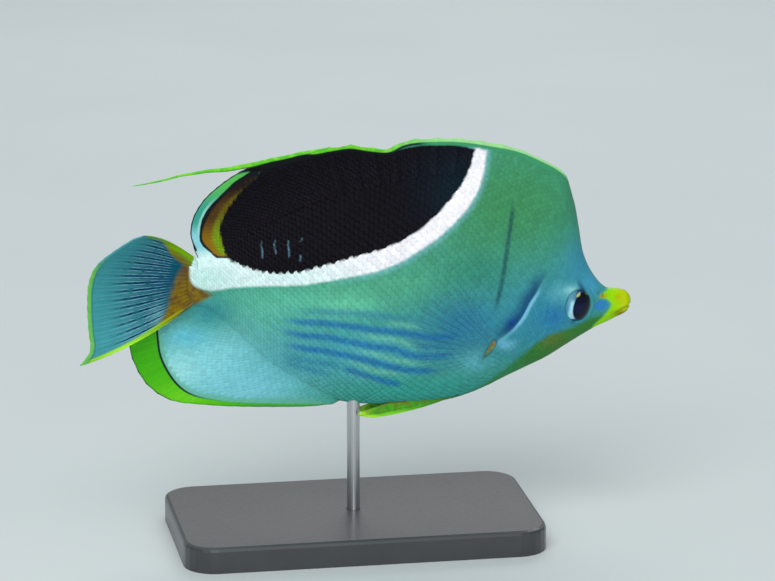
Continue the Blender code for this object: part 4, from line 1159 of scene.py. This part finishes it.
ANAL_MARGIN = [
    (-3.4, 54.9), (-6.6, 53.4), (-11.0, 52.6), (-20.6, 52.2), (-44.0, 53.4), (-59.5, 55.2), (-71.0, 57.6),
    (-79.5, 63.8), (-84.5, 72.5), (-86.2, 81.0), (-82.0, 88.8), (-72.0, 93.0), (-64.2, 93.9),
]
ANAL_RAYS, ANAL_START_STATION, ANAL_END_STATION = 23, 15, 19.4
ANAL_SCALE_PITCH = [(0.0, 2.0), (40.0, 2.6), (90.0, 2.0)]
ANAL_SCALE_LIFT, ANAL_UNSCALED = 0.09, 2.0
ANAL_THICKNESS = (6.0, 0.45, 9.0)


def finish_anal():
    material, shade = new_finish("anal_fin_membrane", 0.45, 0.02, 0.12)
    line, rim, x = shade.read("anal_edge"), shade.read("rim"), shade.where("X")
    beyond = line.fall(-0.3, 0.2)
    green = shade.over((60, 168, 10), ((98, 198, 22), shade.wash(-66.0, 57.0, 16.0, 9.0)))
    green = shade.tinted(green, 0.9 + shade.noise(600, 3.0, (1, 1, 3)) * 0.25)
    breadth = 0.42 - x.rise(-72.0, -52.0) * 0.2
    dark = (shade.math("ABSOLUTE", line) - breadth).fall(-0.25, 0.25)
    colour = shade.over(
        living_colour(shade),
        ((96, 176, 140), line.fall(0.8, 3.6) * (1 - beyond) * 0.7),
        (green, beyond),
        ((8, 22, 34), dark * (1 - x.rise(-68.0, -48.0) * 0.9)),
        ((14, 34, 44), rim.fall(0.3, 0.6) * x.fall(-74.0, -68.0)),
        ((74, 132, 84), rim.fall(0.5, 1.1) * x.rise(-46.0, -36.0) * 0.7),
    )
    colour = shade.tinted(colour, 0.95 + shade.read("ray") * 0.08)
    return complete(material, {"Base Color": colour, "Normal": fin_relief(shade)})


anal_sheet = FinSheet(profile(ANAL_START_STATION, ANAL_END_STATION, False, 60),
                      margin(ANAL_MARGIN, 0.4, 500), ANAL_RAYS, steps_per_ray=14, rows=40,
                      shape=soft_ray, notch=0.006, height=0.08)
anal = anal_sheet.piece("anal_fin_sheet", finish_anal(), ANAL_THICKNESS)
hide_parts("anal_fin")
sheathe(anal_sheet, "anal", ANAL_SCALE_PITCH, ANAL_SCALE_LIFT, ANAL_THICKNESS,
        lambda flat: left_of(flat, anal_line) > ANAL_UNSCALED)


# Tail fin
# Seventeen branched rays fanned toward the fish's right side: an orange root, a smoke-blue fan with
# dark and pale streaks between its rays, lemon and olive edges, and a thin green rear margin.

TAIL_MARGIN = [
    (-83.5, -27.0, 129.2), (-88.6, -25.5, 126.8), (-99.2, -21.0, 118.1), (-102.8, -17.5, 110.0),
    (-103.4, -15.0, 100.0), (-102.9, -13.0, 90.0), (-102.4, -12.0, 81.7), (-106.3, -12.0, 76.0),
]
TAIL_RAYS = 17
TAIL_BOW = (0.9, -3.0)
TAIL_ROOT_X, TAIL_ROOT_LIFT, TAIL_ROOT_INSET = -60.6, 1.0, 0.5
TAIL_START_SLOPE, TAIL_HELD_STRAIGHT = 0.18, 1.1
TAIL_THICKNESS = (5.6, 0.45, 11.0)


def tail_roots(count):
    rise = np.linspace(STATIONS[-1][1] + TAIL_ROOT_LIFT, STATIONS[-1][3] + TAIL_ROOT_INSET, count)
    return np.stack([np.full(count, TAIL_ROOT_X), np.full(count, bend_at(TAIL_ROOT_X)), rise], axis=1)


def tail_sweep(place, reach):
    """Holds the rays back toward the stalk's own line near the root."""
    root, tip = tail_roots(len(place)), evenly(tail_tips, len(place))
    off_line = TAIL_START_SLOPE * (tip - root)[:, :1] - (tip - root)[:, 1:2]
    bow = TAIL_BOW[0] + (TAIL_BOW[1] - TAIL_BOW[0]) * place
    belly = reach * (1 - reach)
    return np.stack([np.zeros_like(belly), TAIL_HELD_STRAIGHT * off_line * belly, 4 * bow * belly], axis=-1)


def tail_edges(shade):
    """The lemon lower edge and the olive upper one, each paired with its mask."""
    upper, lower, reach = shade.read("upper"), shade.read("lower"), shade.read("reach")
    lemon = shade.over((140, 206, 36), ((172, 240, 60), shade.wash(-90.0, 82.0, 10.0, 8.0)),
                       ((150, 148, 20), shade.wash(-70.0, 93.0, 7.0, 6.0)))
    olive = shade.over((110, 162, 8), ((96, 116, 14), upper.rise(1.2, 4.2)),
                       ((112, 88, 40), upper.rise(1.0, 2.6) * shade.wash(-68.0, 112.6, 6.0, 5.0) * 0.75),
                       ((150, 120, 22), upper.rise(0.4, 1.4) * shade.wash(-76.0, 121.0, 6.0, 6.0) * 0.7))
    low_edge = (lower - 2.2 + reach * 0.9).fall(-0.5, 0.5) * reach.rise(0.08, 0.25)
    wedge = upper - reach.fall(0.25, 0.6) * 3.9 - 0.7
    top_edge = (wedge + (shade.noise(350, 2.0) - 0.5) * 1.6).fall(-0.9, 0.7) * reach.fall(0.85, 0.95)
    return [(lemon, low_edge), (olive, top_edge)]


def finish_tail():
    material, shade = new_finish("tail_fin_membrane", 0.5, 0.0, 0.06)
    reach, place, rim = shade.read("reach"), shade.read("place"), shade.read("rim")
    smoke = shade.over(
        (4, 82, 100),
        ((62, 150, 158), reach.rise(0.35, 0.95)),
        ((68, 154, 162), place.rise(0.6, 0.95) * reach.rise(0.3, 0.8) * 0.7),
        ((10, 72, 100), shade.wash(-75.0, 107.0, 7.0, 11.0) * 0.7),
        ((120, 186, 188), shade.wash(-76.0, 92.0, 3.0, 5.0) * 0.5),
    )
    smoke = shade.tinted(smoke, 0.84 + shade.noise(500, 4.0, (0.5, 1, 1)) * 0.3)
    gap = shade.read("gap") + (shade.noise(1600, 2.0, (0.2, 1, 1)) - 0.5) * 0.18
    streaked = reach.fall(0.6, 0.85) * reach.rise(0.2, 0.36) * shade.noise(350, 1.0).rise(0.2, 0.55)
    ember = shade.over((126, 104, 14), ((102, 76, 30), shade.noise(420, 2.0).rise(0.35, 0.7)),
                       ((92, 70, 48), shade.wash(-64.5, 109.6, 4.5, 5.0) * 0.85))
    base = shade.read("root_orange") + (shade.noise(300, 3.0) - 0.5) * 2.0
    green = shade.over((92, 178, 70), ((116, 196, 100), shade.noise(260, 2.0)))
    along = place.rise(0.22, 0.4)
    colour = shade.over(
        smoke,
        ((120, 176, 184), shade.read("ray").rise(0.7, 1.0) * reach.rise(0.25, 0.5) * 0.25),
        ((116, 176, 194), gap.rise(0.16, 0.24) * gap.fall(0.3, 0.37) * streaked * 0.75),
        ((10, 38, 80), gap.rise(0.36, 0.46) * streaked),
        (ember, base.rise(-1.4, 1.4)),
        *tail_edges(shade),
        ((24, 66, 80), rim.fall(1.7, 2.3) * along * 0.4),
        (green, rim.fall(1.2, 1.8) * along),
        ((96, 168, 170), rim.fall(0.2, 1.6) * (1 - along) * 0.6),
        ((190, 224, 218), shade.read("band").rise(-0.4, 0.4)),
    )
    return complete(material, {"Base Color": colour, "Normal": fin_relief(shade, 0.45)})


tail_tips = smooth_line(TAIL_MARGIN, 200)
tail_sheet = FinSheet(tail_roots(60), tail_tips, TAIL_RAYS, steps_per_ray=18, rows=56, shape=soft_ray,
                      notch=0.004, height=0.26, curve=tail_sweep)
tail_flat = tail_sheet.grid[..., [0, 2]]
tail_fields = {name: nearest_on(tail_flat.reshape(-1, 2), tail_flat[edge])[0]
               for name, edge in (("upper", 0), ("lower", -1))}
tail = tail_sheet.piece("tail_fin_fan", finish_tail(), TAIL_THICKNESS, tail_fields)
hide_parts("tail_fin")


# Pectoral fins
# One clear, glassy fan on each side behind the gill cover, on a short olive-yellow root. Its rays are
# fine, branched and blue-grey, and the membrane between them lets the flank show through.

PECTORAL_RAYS = 15
PECTORAL_LENGTHS = (30.0, 38.0, 40.0, 35.0, 24.0)
PECTORAL_RISE = (60.0, 42.0, 24.0, 6.0, -12.0)
PECTORAL_FLARE = (22.0, 23.0, 25.0, 27.0, 30.0)
PECTORAL_STANDOFF, PECTORAL_CURL = 0.4, 0.28
PECTORAL_THICKNESS = (0.6, 0.22, 4.0)
PECTORAL_COLUMNS = 60


def pectoral_sheet(side):
    place = np.linspace(0, 1, PECTORAL_COLUMNS)
    root = []
    for share in place:
        x, z = evenly(np.array(PECTORAL_ROOT), PECTORAL_COLUMNS)[int(share * (PECTORAL_COLUMNS - 1))]
        spot, facing = flank_at(x, z, side)
        root.append(spot + facing * PECTORAL_STANDOFF)
    shares = np.linspace(0, 1, len(PECTORAL_LENGTHS))
    length = np.interp(place, shares, PECTORAL_LENGTHS)
    rise = np.radians(np.interp(place, shares, PECTORAL_RISE))
    flare = np.radians(np.interp(place, shares, PECTORAL_FLARE))
    out = np.sin(flare) * length
    back = np.cos(flare) * length
    tips = np.stack([-back * np.cos(rise), side * out * (1 - PECTORAL_CURL), back * np.sin(rise)], axis=1)

    def curl(place_of, reach):
        push = side * np.interp(place_of, place, out * PECTORAL_CURL) * reach * (1 - reach)
        return push[..., None] * (0, 1, 0)

    return FinSheet(np.array(root), np.array(root) + tips, PECTORAL_RAYS, steps_per_ray=14, rows=40,
                    shape=soft_ray, notch=0.02, height=0.16, curve=curl)


def finish_pectoral():
    material, shade = new_finish("pectoral_membrane", 0.35, 0.05, 0.2)
    ray, reach = shade.read("ray").rise(0.3, 0.9), shade.read("reach")
    root = reach.fall(0.01, 0.05)
    flame = shade.over((150, 124, 52), ((128, 144, 72), shade.read("place").rise(0.3, 0.8)))
    clear = 0.03 + ray * (0.18 - reach * 0.12) + shade.read("rim").fall(0.2, 0.8) * 0.02
    return complete(material, {
        "Base Color": shade.over((84, 160, 178), ((22, 76, 122), ray * reach.rise(0.25, 0.5)), (flame, root)),
        "Alpha": shade.math("MAXIMUM", clear, root * 0.2),
        "Normal": fin_relief(shade, 0.3),
    })


pectoral_finish = finish_pectoral()
for side_name, side in (("right", -1), ("left", 1)):
    fan = pectoral_sheet(side).piece(f"pectoral_fan_{side_name}", pectoral_finish, PECTORAL_THICKNESS)
    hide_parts(f"pectoral_fin_{side_name}")


# Pelvic fins
# A long blade on each side, folded back under the belly, of one spine and five rays. Its membrane is
# green, browner above partly as painted shade where it meets the belly, with a lemon lower edge and tip; the
# lower edge is also lightened as a painted highlight.

PELVIC_ROOT_Y = 3.0
PELVIC_TIPS = [(8.0, 47.3), (4.0, 47.8), (1.2, 48.8), (3.9, 50.2), (8.8, 51.6), (13.0, 53.0)]
PELVIC_ROOT_SPREAD, PELVIC_ROOT_SUNK = (42.0, 36.0), 0.7
PELVIC_TIP_Y = (3.6, 3.2)
PELVIC_BELLY = 1.3
PELVIC_RAYS = 6
PELVIC_THICKNESS = (1.3, 0.35, 12.0)


def pelvic_bow(place, reach):
    """The blade's lower edge hangs a little below the straight line from its root."""
    drop = -4 * PELVIC_BELLY * reach * (1 - reach) * (1 - place)
    return drop[..., None] * (0, 0, 1)


def finish_pelvic():
    material, shade = new_finish("pelvic_fin_membrane", 0.45, 0.03, 0.2)
    place, reach = shade.read("place"), shade.read("reach")
    colour = shade.over(
        (76, 172, 14),
        ((64, 144, 16), shade.noise(700, 3.0).rise(0.35, 0.65)),
        # The lower edge is lemon, made lighter still as a painted highlight.
        ((136, 224, 30), place.fall(0.05, 0.35) * reach.rise(0.4, 0.75)),
        ((172, 240, 46), reach.rise(0.84, 0.98) * place.fall(0.3, 0.7)),
        ((120, 110, 14), shade.noise(500, 3.0).rise(0.42, 0.6) * place.rise(0.2, 0.6) * 0.7),
        # Brown along the upper edge, partly its own colour and partly painted shade where the blade meets the
        # belly.
        ((92, 70, 16), place.rise(0.82, 0.97) * 0.85),
        ((70, 120, 44), reach.fall(0.1, 0.4)),
        ((40, 100, 30), shade.read("ray").fall(0.05, 0.4) * 0.25),
    )
    return complete(material, {"Base Color": colour, "Normal": fin_relief(shade, 0.4)})


pelvic_finish = finish_pelvic()
for side_name, side in (("right", -1), ("left", 1)):
    belly = skin_grid[:, 1 if side > 0 else AROUND - 3]
    root = []
    for x in np.linspace(*PELVIC_ROOT_SPREAD, 30):
        ring = np.abs(belly[:, 0] - x).argmin()
        quarter = skin_grid[ring, :SIDE_COLUMNS // 2]
        under = np.interp(PELVIC_ROOT_Y, quarter[:, 1], quarter[:, 2])
        root.append((x, side * PELVIC_ROOT_Y, under + PELVIC_ROOT_SUNK))
    outline = evenly(smooth_line(PELVIC_TIPS, 80), 80)
    tips = np.stack([outline[:, 0], side * np.linspace(*PELVIC_TIP_Y, 80), outline[:, 1]], axis=1)
    sheet = FinSheet(np.array(root), tips, PELVIC_RAYS, steps_per_ray=16, rows=44, shape=soft_ray,
                     notch=0.0, height=0.14, curve=pelvic_bow)
    blade = sheet.piece(f"pelvic_blade_{side_name}", pelvic_finish, PELVIC_THICKNESS)
    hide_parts(f"pelvic_fin_{side_name}")


# Display stand
# A flat lacquered base with rounded corners, and one brushed steel rod up into the belly. Both are
# the part's own solids, with only a finish added.


def finish_base():
    material, shade = new_finish("stand_lacquer", 0.35, 0.3)
    return complete(material, {
        "Base Color": shade.over((58, 60, 62), ((46, 48, 50), shade.noise(90, 4.0))),
        "Roughness": 0.3 + shade.noise(500, 4.0) * 0.16,
        "Normal": shade.bump(0.12, 0.0003, shade.noise(1400, 3.0)),
    })


def finish_rod():
    material, shade = new_finish("brushed_steel", 0.3)
    brushed = shade.noise(700, 4.0, (1, 1, 0.04))
    return complete(material, {
        "Base Color": shade.over((176, 178, 180), ((206, 208, 210), brushed)),
        "Roughness": 0.22 + brushed * 0.2,
        "Metallic": 1.0,
    })


nodes["stand_base"].material_slots[0].material = finish_base()
nodes["stand_rod"].material_slots[0].material = finish_rod()


# Studio
# A wide pale floor under a pale sky, lit by three round soft lights: the key light high on the left,
# a low one beside the camera, and a rim light from behind.

FLOOR_HALF = 20.0
CAMERA_TARGET = Vector((0.0134, 0.0, 0.0967))
CAMERA_DISTANCE, CAMERA_AZIMUTH, CAMERA_ELEVATION = 1.6, -10.0, 15.0
CAMERA_LENS = 194.3
SKY_COLOUR, SKY_STRENGTH = (0.92, 0.96, 1.0, 1.0), 0.42


def finish_floor():
    material, shade = new_finish("studio_floor", 0.9, 0.0, 0.1)
    colour = shade.over((206, 214, 214), ((198, 207, 208), shade.noise(6, 3.0)))
    return complete(material, {"Base Color": colour})


def direction(azimuth, elevation):
    a, e = math.radians(azimuth), math.radians(elevation)
    return Vector((math.sin(a) * math.cos(e), -math.cos(a) * math.cos(e), math.sin(e)))


def aimed(thing, azimuth, elevation, distance):
    thing.location = CAMERA_TARGET + direction(azimuth, elevation) * distance
    thing.rotation_euler = direction(azimuth, elevation).to_track_quat("Z", "Y").to_euler()
    bpy.context.scene.collection.objects.link(thing)


def soft_light(name, azimuth, elevation, distance, size, watts):
    lamp = bpy.data.lights.new(name, "AREA")
    lamp.shape = "DISK"
    lamp.size = size
    lamp.energy = watts
    aimed(bpy.data.objects.new(name, lamp), azimuth, elevation, distance)


floor = new_piece("floor", np.array([(-1, -1, 0), (1, -1, 0), (1, 1, 0), (-1, 1, 0)]) * FLOOR_HALF / MM,
                  np.array([[0, 1, 2, 3]]))
floor.data.materials.append(finish_floor())
soft_light("key_light", -25, 50, 1.6, 1.2, 15)
soft_light("front_light", -4, 4, 1.9, 1.3, 14)
soft_light("rim_light", 165, 45, 1.6, 1.2, 9)

world = bpy.data.worlds.new("studio_world")
world.use_nodes = True
world.node_tree.nodes["Background"].inputs["Color"].default_value = SKY_COLOUR
world.node_tree.nodes["Background"].inputs["Strength"].default_value = SKY_STRENGTH
bpy.context.scene.world = world
bpy.context.scene.view_settings.view_transform = "Standard"

lens = bpy.data.cameras.new("camera")
lens.lens = CAMERA_LENS
lens.sensor_width = 36.0
lens.clip_end = 100.0
camera = bpy.data.objects.new("camera", lens)
aimed(camera, CAMERA_AZIMUTH, CAMERA_ELEVATION, CAMERA_DISTANCE)
bpy.context.scene.camera = camera
